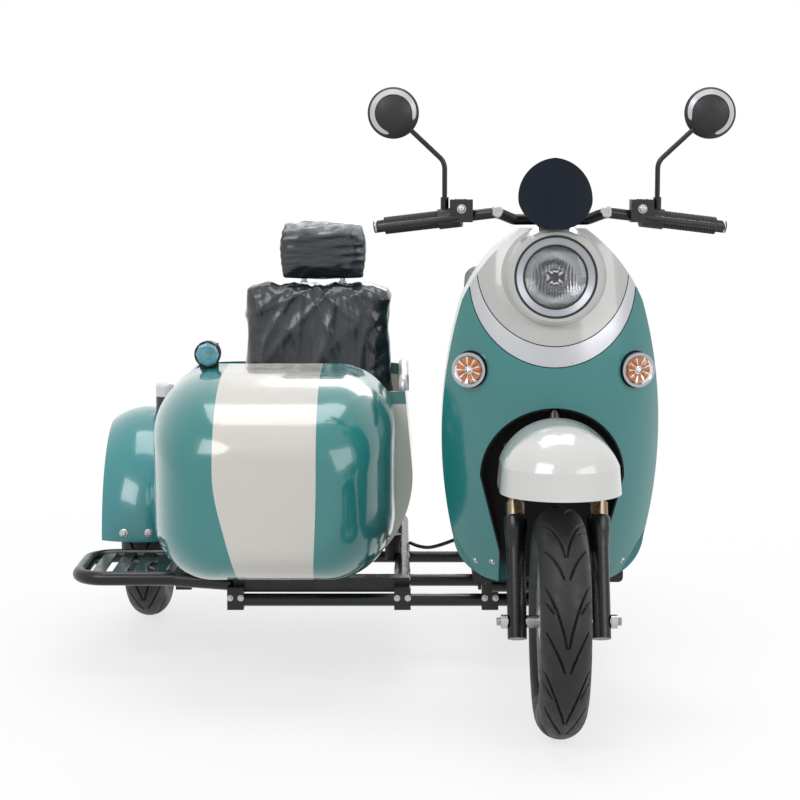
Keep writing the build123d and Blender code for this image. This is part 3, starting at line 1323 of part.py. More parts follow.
# Sidecar frame: two long tubes, a square front bar, posts under the tub, and the wheel's bracket
# with its stub axle, which has a spacer inside the hub and a nut outside
with BuildPart() as sidecar_frame:
    for mount_x in (INNER_TUBE_X - MOUNT_SHIFT, OUTER_TUBE_X + MOUNT_SHIFT):
        for mount_y in (NOSE_BACK_Y + MOUNT_IN, TUB_BACK_Y - 2 * MOUNT_IN):
            rod((mount_x, mount_y, LONG_TUBE_Z), (mount_x, mount_y, TUB_LOW_Z + MOUNT_R), MOUNT_R)
    for tube_x, front_y in ((INNER_TUBE_X, FRONT_BAR_Y), (OUTER_TUBE_X, OUTER_TUBE_FRONT_Y)):
        rod((tube_x, front_y, LONG_TUBE_Z), (tube_x, LONG_TUBE_BACK_Y, LONG_TUBE_Z), LONG_TUBE_R)
    outer_front = (OUTER_TUBE_X, OUTER_TUBE_FRONT_Y, LONG_TUBE_Z)
    outer_back = (OUTER_TUBE_X, LONG_TUBE_BACK_Y, LONG_TUBE_Z)
    rod(outer_front, (FRONT_BAR_OUT_X, FRONT_BAR_Y, LONG_TUBE_Z), LONG_TUBE_R)
    block(
        (FRONT_BAR_OUT_X, FRONT_BAR_Y - LONG_TUBE_R, LONG_TUBE_Z - LONG_TUBE_R),
        (INNER_TUBE_X + LONG_TUBE_R, FRONT_BAR_Y + LONG_TUBE_R, LONG_TUBE_Z + LONG_TUBE_R),
    )
    rod(outer_back, (INNER_TUBE_X, LONG_TUBE_BACK_Y, LONG_TUBE_Z), LONG_TUBE_R)
    block(
        (BRACKET_X, SIDECAR_WHEEL_Y - BRACKET_HALF, LONG_TUBE_Z - LONG_TUBE_R),
        (OUTER_TUBE_X + LONG_TUBE_R, SIDECAR_WHEEL_Y + BRACKET_HALF, TYRE_R + BRACKET_RISE),
    )
    hub_in = SIDECAR_WHEEL_X + HUB_W / 2
    hub_out = SIDECAR_WHEEL_X - HUB_W / 2
    across(hub_out - NUT_T - RUN_GAP, BRACKET_X, SIDECAR_WHEEL_Y, TYRE_R, AXLE_R)
    across(hub_in + RUN_GAP, BRACKET_X, SIDECAR_WHEEL_Y, TYRE_R, SPACER_R)
    across(hub_out - NUT_T - RUN_GAP, hub_out - RUN_GAP, SIDECAR_WHEEL_Y, TYRE_R, NUT_R)
    add(tub_solid, mode=Mode.SUBTRACT)
keep(sidecar_frame, "sidecar_frame")

# Cross tubes from under the sidecar's frame to under the scooter's left and right rails, with clamps
cross_z = LONG_TUBE_Z - LONG_TUBE_R - CROSS_TUBE_R
with BuildPart() as cross_tubes:
    for cross_y, cross_out_x in CROSS_TUBES:
        holds = (
            (cross_out_x + CLAMP_HALF, LONG_TUBE_Z), (INNER_TUBE_X, LONG_TUBE_Z),
            (-RAIL_X, RAIL_Z), (RAIL_X, RAIL_Z),
        )
        for hold_x, hold_z in holds:
            block(
                (hold_x - CLAMP_HALF, cross_y - CLAMP_HALF, cross_z - CROSS_TUBE_R - CLAMP_LIP),
                (hold_x + CLAMP_HALF, cross_y + CLAMP_HALF, hold_z),
            )
        rod((cross_out_x, cross_y, cross_z), (RAIL_X, cross_y, cross_z), CROSS_TUBE_R)
    add(sidecar_frame.part, mode=Mode.SUBTRACT)
    add(scooter_frame.part, mode=Mode.SUBTRACT)
keep(cross_tubes, "cross_tubes")

# Step rack beside the nose: a tube loop with slats
with BuildPart() as step_rack:
    rack_x = RACK_OUT_X + RACK_TUBE_R
    tube(
        (
            (OUTER_TUBE_X, RACK_FRONT_Y, LONG_TUBE_Z), (rack_x, RACK_FRONT_Y, LONG_TUBE_Z),
            (rack_x, RACK_BACK_Y, LONG_TUBE_Z), (OUTER_TUBE_X, RACK_BACK_Y, LONG_TUBE_Z),
        ),
        RACK_TUBE_R,
        RACK_BEND,
    )
    slat_pitch = (OUTER_TUBE_X - rack_x) / (RACK_SLATS + 1)
    for slat in range(RACK_SLATS):
        slat_x = rack_x + slat_pitch * (slat + 1)
        block(
            (slat_x - SLAT_HALF, RACK_FRONT_Y, LONG_TUBE_Z + RACK_TUBE_R - 2 * SLAT_T),
            (slat_x + SLAT_HALF, RACK_BACK_Y, LONG_TUBE_Z + RACK_TUBE_R - SLAT_T),
        )
    run_x = OUTER_TUBE_X - rack_x
    with BuildSketch(top_plane(LONG_TUBE_Z - RACK_BAR_T)):
        with BuildLine():
            Polyline(
                (OUTER_TUBE_X, RACK_FRONT_Y), (OUTER_TUBE_X, RACK_FRONT_Y + RACK_BAR_W),
                (OUTER_TUBE_X - run_x / 2, RACK_BACK_Y), (OUTER_TUBE_X - run_x / 2 - RACK_BAR_W, RACK_BACK_Y),
                close=True,
            )
        make_face()
    extrude(amount=RACK_BAR_T)
    add(sidecar_frame.part, mode=Mode.SUBTRACT)
keep(step_rack, "step_rack")

# Seat: a base on the tub's floor, a cushion, a leaning backrest and a headrest on posts
seat_floor_z = TUB_LOW_Z + SHELL_WALL
with BuildPart() as seat_base:
    base_low = (SEAT_X - SEAT_BASE_HALF, SEAT_Y + SEAT_BASE_IN, seat_floor_z)
    block(base_low, (SEAT_X + SEAT_BASE_HALF, SEAT_BACK_Y, SEAT_Z - SEAT_GAP))
    add(tub_room.part, mode=Mode.INTERSECT)
keep(seat_base, "seat_base")

with BuildPart() as seat_cushion:
    block((SEAT_X - SEAT_HALF, SEAT_Y, SEAT_Z), (SEAT_X + SEAT_HALF, SEAT_BACK_Y, SEAT_Z + SEAT_T))
    fillet(seat_cushion.edges().filter_by(Axis.Z), SEAT_CORNER_R)
    fillet(seat_cushion.faces().sort_by(Axis.Z)[-1].edges(), SEAT_EDGE_R)
keep(seat_cushion, "seat_cushion")

back_low_z = SEAT_Z + SEAT_T + SEAT_GAP
back_lean = (BACKREST_TOP_Z - back_low_z) * tan(radians(BACKREST_LEAN))
with BuildPart() as backrest:
    with BuildSketch(side_plane(SEAT_X - SEAT_HALF)):
        with BuildLine():
            Polyline(
                (BACKREST_Y, back_low_z), (BACKREST_Y + back_lean, BACKREST_TOP_Z),
                (BACKREST_Y + back_lean + BACKREST_T, BACKREST_TOP_Z), (BACKREST_Y + BACKREST_T, back_low_z),
                close=True,
            )
        make_face()
    extrude(amount=2 * SEAT_HALF)
    with BuildSketch(front_plane(TUB_BACK_Y, SEAT_X)) as back_outline:
        with BuildLine():
            Polyline(
                (-SEAT_HALF, back_low_z), (SEAT_HALF, back_low_z), (BACKREST_TOP_HALF, BACKREST_TOP_Z),
                (-BACKREST_TOP_HALF, BACKREST_TOP_Z), close=True,
            )
        make_face()
        fillet(back_outline.vertices().group_by(Axis.Z)[-1], SHOULDER_R)
    extrude(amount=TUB_BACK_Y - NOSE_BACK_Y, mode=Mode.INTERSECT)
    fillet(backrest.faces().sort_by(Axis.Y)[0].edges(), SEAT_EDGE_R)
keep(backrest, "backrest")

head_y = BACKREST_Y + back_lean
with BuildPart() as headrest:
    block(
        (HEADREST_X - HEADREST_HALF, head_y + HEADREST_IN, HEADREST_LOW_Z),
        (HEADREST_X + HEADREST_HALF, head_y + BACKREST_T - HEADREST_IN, HEADREST_TOP_Z),
    )
    fillet(headrest.edges().filter_by(Axis.Y), HEADREST_R)
    for side in BOTH_SIDES:
        post = (HEADREST_X + side * POST_X, head_y + BACKREST_T / 2)
        rod((*post, BACKREST_TOP_Z), (*post, HEADREST_LOW_Z), POST_R)
keep(headrest, "headrest")

# Grab rail along the tub's inner rim
with BuildPart() as grab_rail:
    rail_x = TUB_X + TUB_RIM_HALF - SHELL_WALL / 2
    tube(
        (
            (rail_x, RAIL_START_Y, TUB_TOP_Z), (rail_x, RAIL_START_Y, TUB_TOP_Z + GRAB_H),
            (rail_x, RAIL_END_Y, TUB_TOP_Z + GRAB_H), (rail_x, RAIL_END_Y, TUB_TOP_Z),
        ),
        GRAB_R,
        GRAB_BEND,
    )
keep(grab_rail, "grab_rail")


def guard_form(inset):
    """Turn the mudguard's form, filled down to its skirts, about the wheel's axle, less an inset."""
    half = GUARD_HALF - inset
    side_r = GUARD_SIDE_R - inset
    turn = radians(GUARD_FROM)
    axle_spot = spot(SIDECAR_WHEEL_X, SIDECAR_WHEEL_Y, TYRE_R)
    outline_plane = Plane(origin=axle_spot, x_dir=(1, 0, 0), z_dir=(0, -sin(turn), -cos(turn)))
    with BuildSketch(outline_plane) as outline:
        with BuildLine():
            Polyline((half, side_r), (half, GUARD_SKIRT_R), (-half, GUARD_SKIRT_R), (-half, side_r))
            ThreePointArc((-half, side_r), (0, GUARD_R - inset), (half, side_r))
        make_face()
    revolve(outline.sketch, axis=axle_line(SIDECAR_WHEEL_X, SIDECAR_WHEEL_Y), revolution_arc=-GUARD_SPAN)


# Sidecar mudguard: a shallow channel round the wheel, on two bosses from the tub
with BuildPart() as guard_solid:
    guard_form(0)
with BuildPart() as guard_room:
    guard_form(GUARD_T)
with BuildPart() as mudguard:
    add(guard_solid.part)
    add(guard_room.part, mode=Mode.SUBTRACT)
    for side in BOTH_SIDES:
        boss_y = SIDECAR_WHEEL_Y + side * GUARD_BOSS_Y
        boss_x = SIDECAR_WHEEL_X + GUARD_HALF - GUARD_T
        across(boss_x, TUB_X - TUB_RIM_HALF, boss_y, GUARD_BOSS_Z, GUARD_BOSS_R)
    add(tub_solid, mode=Mode.SUBTRACT)
keep(mudguard, "mudguard")

# Marker lamp on the mudguard
with BuildPart() as marker_lamp:
    marker_top_z = TYRE_R + GUARD_R + MARKER_H
    rod((MARKER_X, MARKER_Y, TYRE_R + GUARD_SKIRT_R), (MARKER_X, MARKER_Y, marker_top_z), MARKER_R)
    fillet(marker_lamp.faces().sort_by(Axis.Z)[-1].edges(), MARKER_R / 2)
    add(guard_solid.part, mode=Mode.SUBTRACT)
    split(bisect_by=top_plane(TYRE_R + GUARD_SIDE_R - MARKER_R / 2), keep=Keep.TOP)
keep(marker_lamp, "marker_lamp")

# Auxiliary lamp on a bracket at the nose's outer top edge
with BuildPart() as aux_lamp:
    with BuildSketch(front_plane(AUX_Y + AUX_BACK)):
        with Locations((AUX_X, AUX_Z)):
            Circle(AUX_R)
    extrude(amount=AUX_BACK + AUX_FRONT)
    plate_y = AUX_Y + AUX_BACK
    block((AUX_X - AUX_HALF, plate_y, AUX_FOOT_Z), (AUX_X + AUX_HALF, plate_y + AUX_T, AUX_Z + AUX_HALF))
    add(nose_solid, mode=Mode.SUBTRACT)
keep(aux_lamp, "aux_lamp")


def lead_bends(points):
    """The largest bend at each inner point of the lead that its two runs leave room for."""
    bends = []
    for before, here, after in zip(points, points[1:], points[2:]):
        into = Vector(*here) - Vector(*before)
        away = Vector(*after) - Vector(*here)
        half_turn = radians(into.get_angle(away) / 2)
        bends.append(LEAD_SHARE * min(into.length, away.length) / tan(half_turn))
    return bends


# Wiring lead from the scooter's floor to the sidecar's inner tube
lead_radii = lead_bends(LEAD_PATH)
print("lead bends", [round(bend) for bend in lead_radii])
with BuildPart() as wiring_lead:
    tube(LEAD_PATH, LEAD_R, lead_radii)
keep(wiring_lead, "wiring_lead")
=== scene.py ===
import math

import bmesh
import bpy
from mathutils import Matrix, Vector, noise


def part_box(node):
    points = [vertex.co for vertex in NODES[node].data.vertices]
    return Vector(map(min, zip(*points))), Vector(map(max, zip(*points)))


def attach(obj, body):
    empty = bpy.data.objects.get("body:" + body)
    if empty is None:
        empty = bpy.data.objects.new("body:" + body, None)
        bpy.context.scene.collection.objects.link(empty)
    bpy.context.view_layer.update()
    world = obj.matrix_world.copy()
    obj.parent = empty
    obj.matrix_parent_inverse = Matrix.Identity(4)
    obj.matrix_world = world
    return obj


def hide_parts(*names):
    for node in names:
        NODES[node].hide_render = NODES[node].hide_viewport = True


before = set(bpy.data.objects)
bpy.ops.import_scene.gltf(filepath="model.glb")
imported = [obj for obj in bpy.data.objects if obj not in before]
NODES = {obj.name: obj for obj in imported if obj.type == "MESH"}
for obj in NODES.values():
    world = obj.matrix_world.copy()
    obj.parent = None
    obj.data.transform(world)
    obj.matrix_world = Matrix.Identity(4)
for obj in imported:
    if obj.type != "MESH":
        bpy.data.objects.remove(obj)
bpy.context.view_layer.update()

SCENE = bpy.context.scene

# Sizes and places of the part that the trim goes by, in millimetres from the scooter's centre plane, front
# axle and ground
SCOOTER_X = 316.0
FRONT_AXLE_Y = -642.0
TYRE_R = 216.0
WHEELBASE = 1200.0
SIDECAR_WHEEL_X, SIDECAR_WHEEL_Y = -880.0, 1040.0
RAKE = math.radians(22)
LEG_X = 78.0
AXLE_END_X = 108.0
BAND_R, BAND_Z = 161.4, 834.0
COWL_R, COWL_Z = 146.0, 860.0
LAMP_Y, LAMP_Z = 150.0, 846.0
LAMP_TILT = math.radians(5)
SIGNAL_X, SIGNAL_Y, SIGNAL_Z = 164.0, 190.0, 665.0
SIGNAL_TURN = math.radians(18)
AUX_X = -700.0
BAR_END = (345.0, 330.0, 934.0)
BAR_KNUCKLE = (106.0, 282.0, 964.0)
MIRROR = (308.0, 300.0, 1156.0)
DIAL_Y, DIAL_Z = 214.0, 964.0
DIAL_TILT = math.radians(30)
POST_XS = (-520, -430)
SIDES = (-1, 1)
AHEAD = Vector((0, -1, 0))
BACK = Vector((0, 1, 0))
UP = Vector((0, 0, 1))
FAR_AHEAD_Y = -300


def at(x, y, z):
    """A place given in the part's millimetres, in metres in the frame."""
    return Vector(((x + SCOOTER_X) / 1000, (y + FRONT_AXLE_Y) / 1000, z / 1000))


def on_side(side, place):
    """One of a mirrored pair of places, on the left or the right."""
    x, y, z = place
    return at(side * x, y, z)


# Materials: lengths in them are in metres, and an axis is 0, 1 or 2
X_AXIS, Z_AXIS = 0, 2


def linear(r, g, b):
    """An sRGB colour out of 255 as a linear one."""
    return tuple(
        c / 255 / 12.92 if c / 255 <= 0.04045 else ((c / 255 + 0.055) / 1.055) ** 2.4 for c in (r, g, b)
    )


def node_math(tree, operation, a, b=0.0):
    """The output of a maths node that takes two numbers or outputs."""
    made = tree.nodes.new("ShaderNodeMath")
    made.operation = operation
    for slot, value in zip(made.inputs, (a, b)):
        if isinstance(value, (int, float)):
            slot.default_value = value
        else:
            tree.links.new(value, slot)
    return made.outputs["Value"]


def backdrop_rays(tree):
    """1 for the rays that show a backdrop: from the camera, mirrored or let through."""
    path = tree.nodes.new("ShaderNodeLightPath")
    seen = node_math(tree, "MAXIMUM", path.outputs["Is Camera Ray"], path.outputs["Is Glossy Ray"])
    return node_math(tree, "MAXIMUM", seen, path.outputs["Is Transmission Ray"])


class Mat:
    """A node material with a principled shader and short ways to add to it."""

    def __init__(self, name, colour, rough=0.4, metal=0.0, **sockets):
        self.mat = bpy.data.materials.new(name)
        self.mat.use_nodes = True
        self.tree = self.mat.node_tree
        self.shader = self.tree.nodes["Principled BSDF"]
        self.colour = (*colour, 1.0)
        self.rough = rough
        self.shader.inputs["Base Color"].default_value = self.colour
        self.shader.inputs["Roughness"].default_value = rough
        self.shader.inputs["Metallic"].default_value = metal
        for socket, value in sockets.items():
            self.shader.inputs[socket.replace("_", " ")].default_value = value
        self.coords = self.node("ShaderNodeTexCoord").outputs["Object"]
        self.height = None

    def node(self, kind, **settings):
        made = self.tree.nodes.new(kind)
        for key, value in settings.items():
            setattr(made, key, value)
        return made

    def link(self, source, target):
        self.tree.links.new(source, target)

    def noise(self, scale, detail=3.0, stretch=(1, 1, 1)):
        """A noise value from object coordinates."""
        mapping = self.node("ShaderNodeMapping")
        mapping.inputs["Scale"].default_value = stretch
        texture = self.node("ShaderNodeTexNoise")
        texture.inputs["Scale"].default_value = scale
        texture.inputs["Detail"].default_value = detail
        self.link(self.coords, mapping.inputs["Vector"])
        self.link(mapping.outputs["Vector"], texture.inputs["Vector"])
        return texture.outputs["Fac"]

    def wave(self, scale):
        """A value that rises and falls across the object, in bands."""
        made = self.node("ShaderNodeTexWave", bands_direction="X", wave_profile="SIN")
        made.inputs["Scale"].default_value = scale
        self.link(self.coords, made.inputs["Vector"])
        return made.outputs["Fac"]

    def span(self, value, low, high, from_low=0.3, from_high=0.7, eased=False):
        """A value stretched to a range, eased at both ends if asked."""
        mapped = self.node("ShaderNodeMapRange", interpolation_type="SMOOTHSTEP" if eased else "LINEAR")
        mapped.inputs["From Min"].default_value = from_low
        mapped.inputs["From Max"].default_value = from_high
        mapped.inputs["To Min"].default_value = low
        mapped.inputs["To Max"].default_value = high
        self.link(value, mapped.inputs["Value"])
        return mapped.outputs["Result"]

    def math(self, operation, a, b=0.0):
        return node_math(self.tree, operation, a, b)

    def mix(self, factor, a, b):
        """A colour mixed from two."""
        made = self.node("ShaderNodeMix", data_type="RGBA")
        for name, value in (("Factor", factor), ("A", a), ("B", b)):
            slot = [s for s in made.inputs if s.name == name and s.enabled][0]
            if isinstance(value, tuple):
                slot.default_value = value
            else:
                self.link(value, slot)
        return [s for s in made.outputs if s.enabled][0]

    def axis(self, index):
        """One of the object coordinates."""
        split = self.node("ShaderNodeSeparateXYZ")
        self.link(self.coords, split.inputs["Vector"])
        return split.outputs[index]

    def paint(self, colour):
        self.link(colour, self.shader.inputs["Base Color"])
        return self

    def two_tone(self, test, height, colour, other):
        """Paint one colour, and another where the height passes a test; gives back where that is."""
        passed = self.math(test, self.axis(Z_AXIS), height)
        self.paint(self.mix(passed, (*colour, 1), (*other, 1)))
        return passed

    def vary(self, amount, scale, stretch=(1, 1, 1)):
        """Darken the base colour a little by a slow noise."""
        dark = tuple(c * (1 - amount) for c in self.colour[:3]) + (1.0,)
        return self.paint(self.mix(self.span(self.noise(scale, 4, stretch), 0, 1), dark, self.colour))

    def uneven(self, amount, scale, stretch=(1, 1, 1)):
        """Let the roughness wander."""
        smoothest = max(0.02, self.rough - amount)
        self.link(
            self.span(self.noise(scale, 4, stretch), smoothest, self.rough + amount),
            self.shader.inputs["Roughness"],
        )
        return self

    def bump(self, height, depth, strength):
        """Raise the surface by a value, on top of any bump before."""
        made = self.node("ShaderNodeBump")
        made.inputs["Distance"].default_value = depth
        made.inputs["Strength"].default_value = strength
        self.link(height, made.inputs["Height"])
        if self.height:
            self.link(self.height, made.inputs["Normal"])
        self.height = made.outputs["Normal"]
        self.link(self.height, self.shader.inputs["Normal"])
        return self


TEAL = linear(38, 125, 124)
TEAL_BLUE = linear(44, 138, 143)
WHITE = linear(214, 215, 212)
# The cowl's white is the fender's white darkened: painted shade on the cowl's lit top
SHADED_COWL_WHITE = linear(186, 186, 184)
CREAM = linear(202, 199, 192)
# The tub's cream is the stripe's cream lightened: painted light against its shade
LIT_TUB_CREAM = linear(238, 234, 222)
FORK_BLACK = linear(14, 15, 17)
FORK_BRONZE = linear(134, 116, 98)
SEAT_BLUE = linear(23, 30, 40)
FILM = linear(188, 192, 196)
MARKER_FOOT = (0.01, 0.011, 0.012)
MARKER_CAP = (0.72, 0.74, 0.76)


def gloss(name, colour, rough=0.2):
    """Glossy moulded body paint: slight orange peel, slow colour drift and a clear coat."""
    m = Mat(name, colour, rough, Coat_Weight=0.7, Coat_Roughness=0.06)
    m.vary(0.06, 5.0).uneven(0.06, 30.0)
    m.bump(m.noise(260.0, 2), 0.0004, 0.12)
    return m


teal = gloss("teal_paint", TEAL)
teal_blue = gloss("teal_guard_paint", TEAL_BLUE)
white = gloss("white_paint", WHITE, 0.18)
# Painted shade: the cowl and the lamp bezel take a darker copy of the white paint
shaded_cowl_white = gloss("cowl_painted_shade_white", SHADED_COWL_WHITE, 0.22)

# Nose: a cream stripe down the middle of the teal, narrower towards the foot. Its middle and its half width
# go from the first value to the second between two heights
STRIPE_MIDDLE = (-0.226, -0.244, 0.22, 0.46)
STRIPE_HALF = (0.074, 0.101, 0.2, 0.46)
nose_paint = gloss("nose_paint", TEAL)
stripe_middle = nose_paint.span(nose_paint.axis(Z_AXIS), *STRIPE_MIDDLE, eased=True)
off_middle = nose_paint.math("ABSOLUTE", nose_paint.math("SUBTRACT", nose_paint.axis(X_AXIS), stripe_middle))
stripe_half = nose_paint.span(nose_paint.axis(Z_AXIS), *STRIPE_HALF, eased=True)
in_stripe = nose_paint.math("LESS_THAN", off_middle, stripe_half)
nose_paint.paint(nose_paint.mix(in_stripe, (*TEAL, 1), (*CREAM, 1)))

# Tub: cream sides under a teal rim; the cream is a lighter copy of the stripe's cream, painted light against
# the shade that the tub sits in
TUB_RIM_Z = 0.545
tub_lit_paint = gloss("tub_lit_paint", LIT_TUB_CREAM)
tub_lit_paint.two_tone("GREATER_THAN", TUB_RIM_Z, LIT_TUB_CREAM, TEAL)

silver = Mat("silver_paint", linear(188, 190, 194), 0.32, 0.55, Coat_Weight=0.4, Coat_Roughness=0.1)
silver.uneven(0.05, 40.0).bump(silver.noise(1400.0, 1), 0.0003, 0.1)

ring_silver = Mat("headlamp_ring_paint", linear(164, 167, 173), 0.38, 0.5)
ring_silver.uneven(0.05, 40.0)

black = Mat(
    "black_tube_paint", linear(14, 15, 17), 0.3, 0.0,
    Specular_IOR_Level=0.35, Coat_Weight=0.2, Coat_Roughness=0.15,
)
black.vary(0.35, 18.0).uneven(0.1, 25.0).bump(black.noise(320.0, 3), 0.0005, 0.2)

plastic = Mat("black_moulding", linear(24, 25, 27), 0.5)
plastic.vary(0.25, 20.0).uneven(0.08, 60.0).bump(plastic.noise(1100.0, 2), 0.0004, 0.35)

liner = Mat("arch_liner_moulding", linear(9, 10, 12), 0.7, Specular_IOR_Level=0.2)
liner.vary(0.3, 12.0).bump(liner.noise(700.0, 2), 0.0006, 0.4)

rubber = Mat("tyre_rubber", linear(19, 19, 20), 0.55)
rubber.vary(0.3, 30.0).uneven(0.1, 45.0).bump(rubber.noise(500.0, 3), 0.0006, 0.35)

grip_rubber = Mat("grip_rubber", linear(20, 20, 21), 0.62)
grip_rubber.vary(0.3, 60.0).bump(grip_rubber.wave(52.0), 0.0014, 0.9)

alloy = Mat("cast_alloy", linear(186, 188, 190), 0.34, 0.9)
alloy.vary(0.14, 25.0).uneven(0.1, 60.0).bump(alloy.noise(480.0, 3), 0.0004, 0.25)

steel = Mat("bright_steel", linear(190, 191, 193), 0.28, 1.0)
steel.uneven(0.1, 90.0, (1, 8, 8)).bump(steel.noise(700.0, 2, (1, 10, 10)), 0.0002, 0.25)

chrome = Mat("chrome_plate", linear(222, 223, 226), 0.07, 1.0)
chrome.uneven(0.03, 30.0)

# The fork's tubes are plated below their yoke; the yoke and the stem are black
YOKE_FOOT_Z = 0.494
bronze = Mat("fork_tube_plate", FORK_BRONZE, 0.28)
bronze.uneven(0.07, 60.0, (8, 8, 1))
plated = bronze.two_tone("LESS_THAN", YOKE_FOOT_Z, FORK_BLACK, FORK_BRONZE)
bronze.link(plated, bronze.shader.inputs["Metallic"])

# The fork's legs are black below their dust seals and plated above them
SEAL_Z = 0.388
leg_paint = Mat("fork_leg_paint", FORK_BLACK, 0.26, Specular_IOR_Level=0.35)
leg_paint.uneven(0.08, 40.0, (8, 8, 1))
plated = leg_paint.two_tone("GREATER_THAN", SEAL_Z, FORK_BLACK, FORK_BRONZE)
leg_paint.link(plated, leg_paint.shader.inputs["Metallic"])

lens = Mat("clear_lens", (0.97, 0.98, 0.99), 0.04, 0.0, Transmission_Weight=1.0, IOR=1.45)
lens.bump(lens.noise(300.0, 1), 0.0002, 0.1)

reflector = Mat("lamp_reflector", linear(196, 197, 199), 0.24, 1.0)
reflector.uneven(0.05, 40.0)

signal_trim = Mat("signal_bezel_plate", linear(176, 178, 182), 0.16, 1.0)
signal_trim.uneven(0.05, 60.0)

clear = Mat("clear_cap", (0.98, 0.98, 0.98), 0.02, 0.0, Transmission_Weight=1.0, IOR=1.3)
clear.bump(clear.noise(120.0, 2), 0.0004, 0.2)

smoke = Mat("smoked_screen", linear(8, 24, 42), 0.05, 0.0, Transmission_Weight=0.2, IOR=1.3)
smoke.vary(0.35, 9.0)

red = Mat("red_lens", linear(170, 14, 16), 0.12, 0.0, Coat_Weight=0.6, Transmission_Weight=0.25)
red.vary(0.3, 60.0).bump(red.wave(36.0), 0.001, 0.6)

amber = Mat("amber_facets", linear(216, 128, 58), 0.16, 0.0, Coat_Weight=0.5)
amber.vary(0.35, 120.0).bump(amber.noise(220.0, 0), 0.001, 0.5)

blue = Mat("blue_lens", linear(104, 180, 198), 0.08, 0.0, Coat_Weight=0.8)
blue.vary(0.5, 40.0).bump(blue.wave(70.0), 0.0008, 0.5)

mirror_glass = Mat("mirror_glass", (0.86, 0.88, 0.9), 0.02, 1.0)
mirror_glass.uneven(0.01, 20.0)

dial_face = Mat("dial_face", linear(20, 21, 23), 0.35)
dial_face.vary(0.2, 80.0)

vinyl = Mat("seat_vinyl", SEAT_BLUE, 0.36, 0.0, Coat_Weight=0.55, Coat_Roughness=0.12)
vinyl.vary(0.35, 22.0).uneven(0.12, 26.0)
vinyl.bump(vinyl.noise(900.0, 3), 0.0004, 0.25)
vinyl.bump(vinyl.noise(16.0, 5, (4.5, 2.0, 1.0)), 0.006, 0.45)

# The headrest's film stands off as a ragged pale sheet along its top and outer edges
HEAD_X = -0.165
FILM_TOP = (0.885, 0.922)
FILM_OUT = (0.093, 0.16)
MOST_FILM = 0.85
head_vinyl = Mat("headrest_film", SEAT_BLUE, 0.34, 0.0, Coat_Weight=0.55, Coat_Roughness=0.12)
head_vinyl.uneven(0.12, 26.0)
head_vinyl.bump(head_vinyl.noise(26.0, 5, (1.0, 1.0, 4.5)), 0.006, 0.4)
from_middle = head_vinyl.math("ABSOLUTE", head_vinyl.math("SUBTRACT", head_vinyl.axis(X_AXIS), HEAD_X))
film_edge = head_vinyl.math(
    "MAXIMUM",
    head_vinyl.span(head_vinyl.axis(Z_AXIS), 0, 1, *FILM_TOP),
    head_vinyl.span(from_middle, 0, 1, *FILM_OUT),
)
ragged = head_vinyl.math(
    "MULTIPLY", film_edge, head_vinyl.span(head_vinyl.noise(34.0, 5), 0.2, 1.2, 0.35, 0.65)
)
head_vinyl.paint(head_vinyl.mix(
    head_vinyl.math("MINIMUM", ragged, MOST_FILM), (*SEAT_BLUE, 1), (*FILM, 1),
))

saddle_vinyl = Mat("saddle_vinyl", linear(20, 20, 22), 0.42)
saddle_vinyl.vary(0.15, 14.0).uneven(0.03, 30.0).bump(saddle_vinyl.noise(800.0, 4), 0.0005, 0.45)

# The marker lamp's cap is clear above its black foot
MARKER_FOOT_TOP_Z = 0.520
marker = Mat("marker_lamp", linear(22, 23, 25), 0.3, Coat_Weight=0.4)
marker.two_tone("GREATER_THAN", MARKER_FOOT_TOP_Z, MARKER_FOOT, MARKER_CAP)

NODE_MATERIALS = {
    teal: ("leg_shield", "knee_panel", "rear_body"),
    teal_blue: ("mudguard",),
    nose_paint: ("nose",),
    tub_lit_paint: ("tub",),
    white: ("front_fender",),
    shaded_cowl_white: ("head_cowl", "headlamp_bezel"),
    silver: ("silver_band", "grab_rail"),
    ring_silver: ("headlamp_ring",),
    black: (
        "scooter_frame", "sidecar_frame", "cross_tubes", "step_rack", "handlebar", "swingarm",
        "carrier", "side_stand", "mirror_stems", "brake_caliper", "shocks",
    ),
    plastic: (
        "instrument", "floorboard", "battery", "rear_fender", "rear_signals", "controls", "mirrors",
        "aux_lamp", "saddle_pan", "seat_base",
    ),
    liner: ("arch_liner",),
    grip_rubber: ("grips",),
    alloy: ("front_rim", "sidecar_rim", "rear_motor_wheel"),
    steel: ("front_axle", "brake_disc"),
    reflector: ("headlamp_reflector",),
    signal_trim: ("signal_bezels",),
    leg_paint: ("fork_legs",),
    bronze: ("fork_yoke",),
    lens: ("headlamp_lens",),
    clear: ("signal_lenses",),
    smoke: ("windscreen",),
    red: ("tail_lamp",),
    marker: ("marker_lamp",),
}
for made, names in NODE_MATERIALS.items():
    for name in names:
        slots = NODES[name].data.materials
        slots.clear()
        slots.append(made.mat)


# Shapes: sizes of turned and laid trim are in millimetres
SHARP = math.radians(42)


def finish_piece(obj, body, replaces=()):
    """Put a piece on its body, in place of the solids that it stands for."""
    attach(obj, body)
    if replaces:
        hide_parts(*replaces)


def piece(name, builder, made, body, smooth=True, replaces=()):
    """Turn a bmesh into a named object that rides on a body."""
    mesh = bpy.data.meshes.new(name)
    bmesh.ops.recalc_face_normals(builder, faces=builder.faces)
    builder.to_mesh(mesh)
    builder.free()
    mesh.materials.append(made.mat)
    if smooth:
        mesh.shade_smooth()
        mesh.set_sharp_from_angle(angle=SHARP)
    obj = bpy.data.objects.new(name, mesh)
    SCENE.collection.objects.link(obj)
    finish_piece(obj, body, replaces)


def facing(place, normal):
    """The matrix that puts a local Z axis along a normal at a place."""
    return Matrix.Translation(place) @ Vector(normal).to_track_quat("Z", "Y").to_matrix().to_4x4()


def bridge(builder, first, second):
    """Join two closed rings of as many points with faces."""
    for index in range(len(first)):
        after = (index + 1) % len(first)
        builder.faces.new((first[index], first[after], second[after], second[index]))


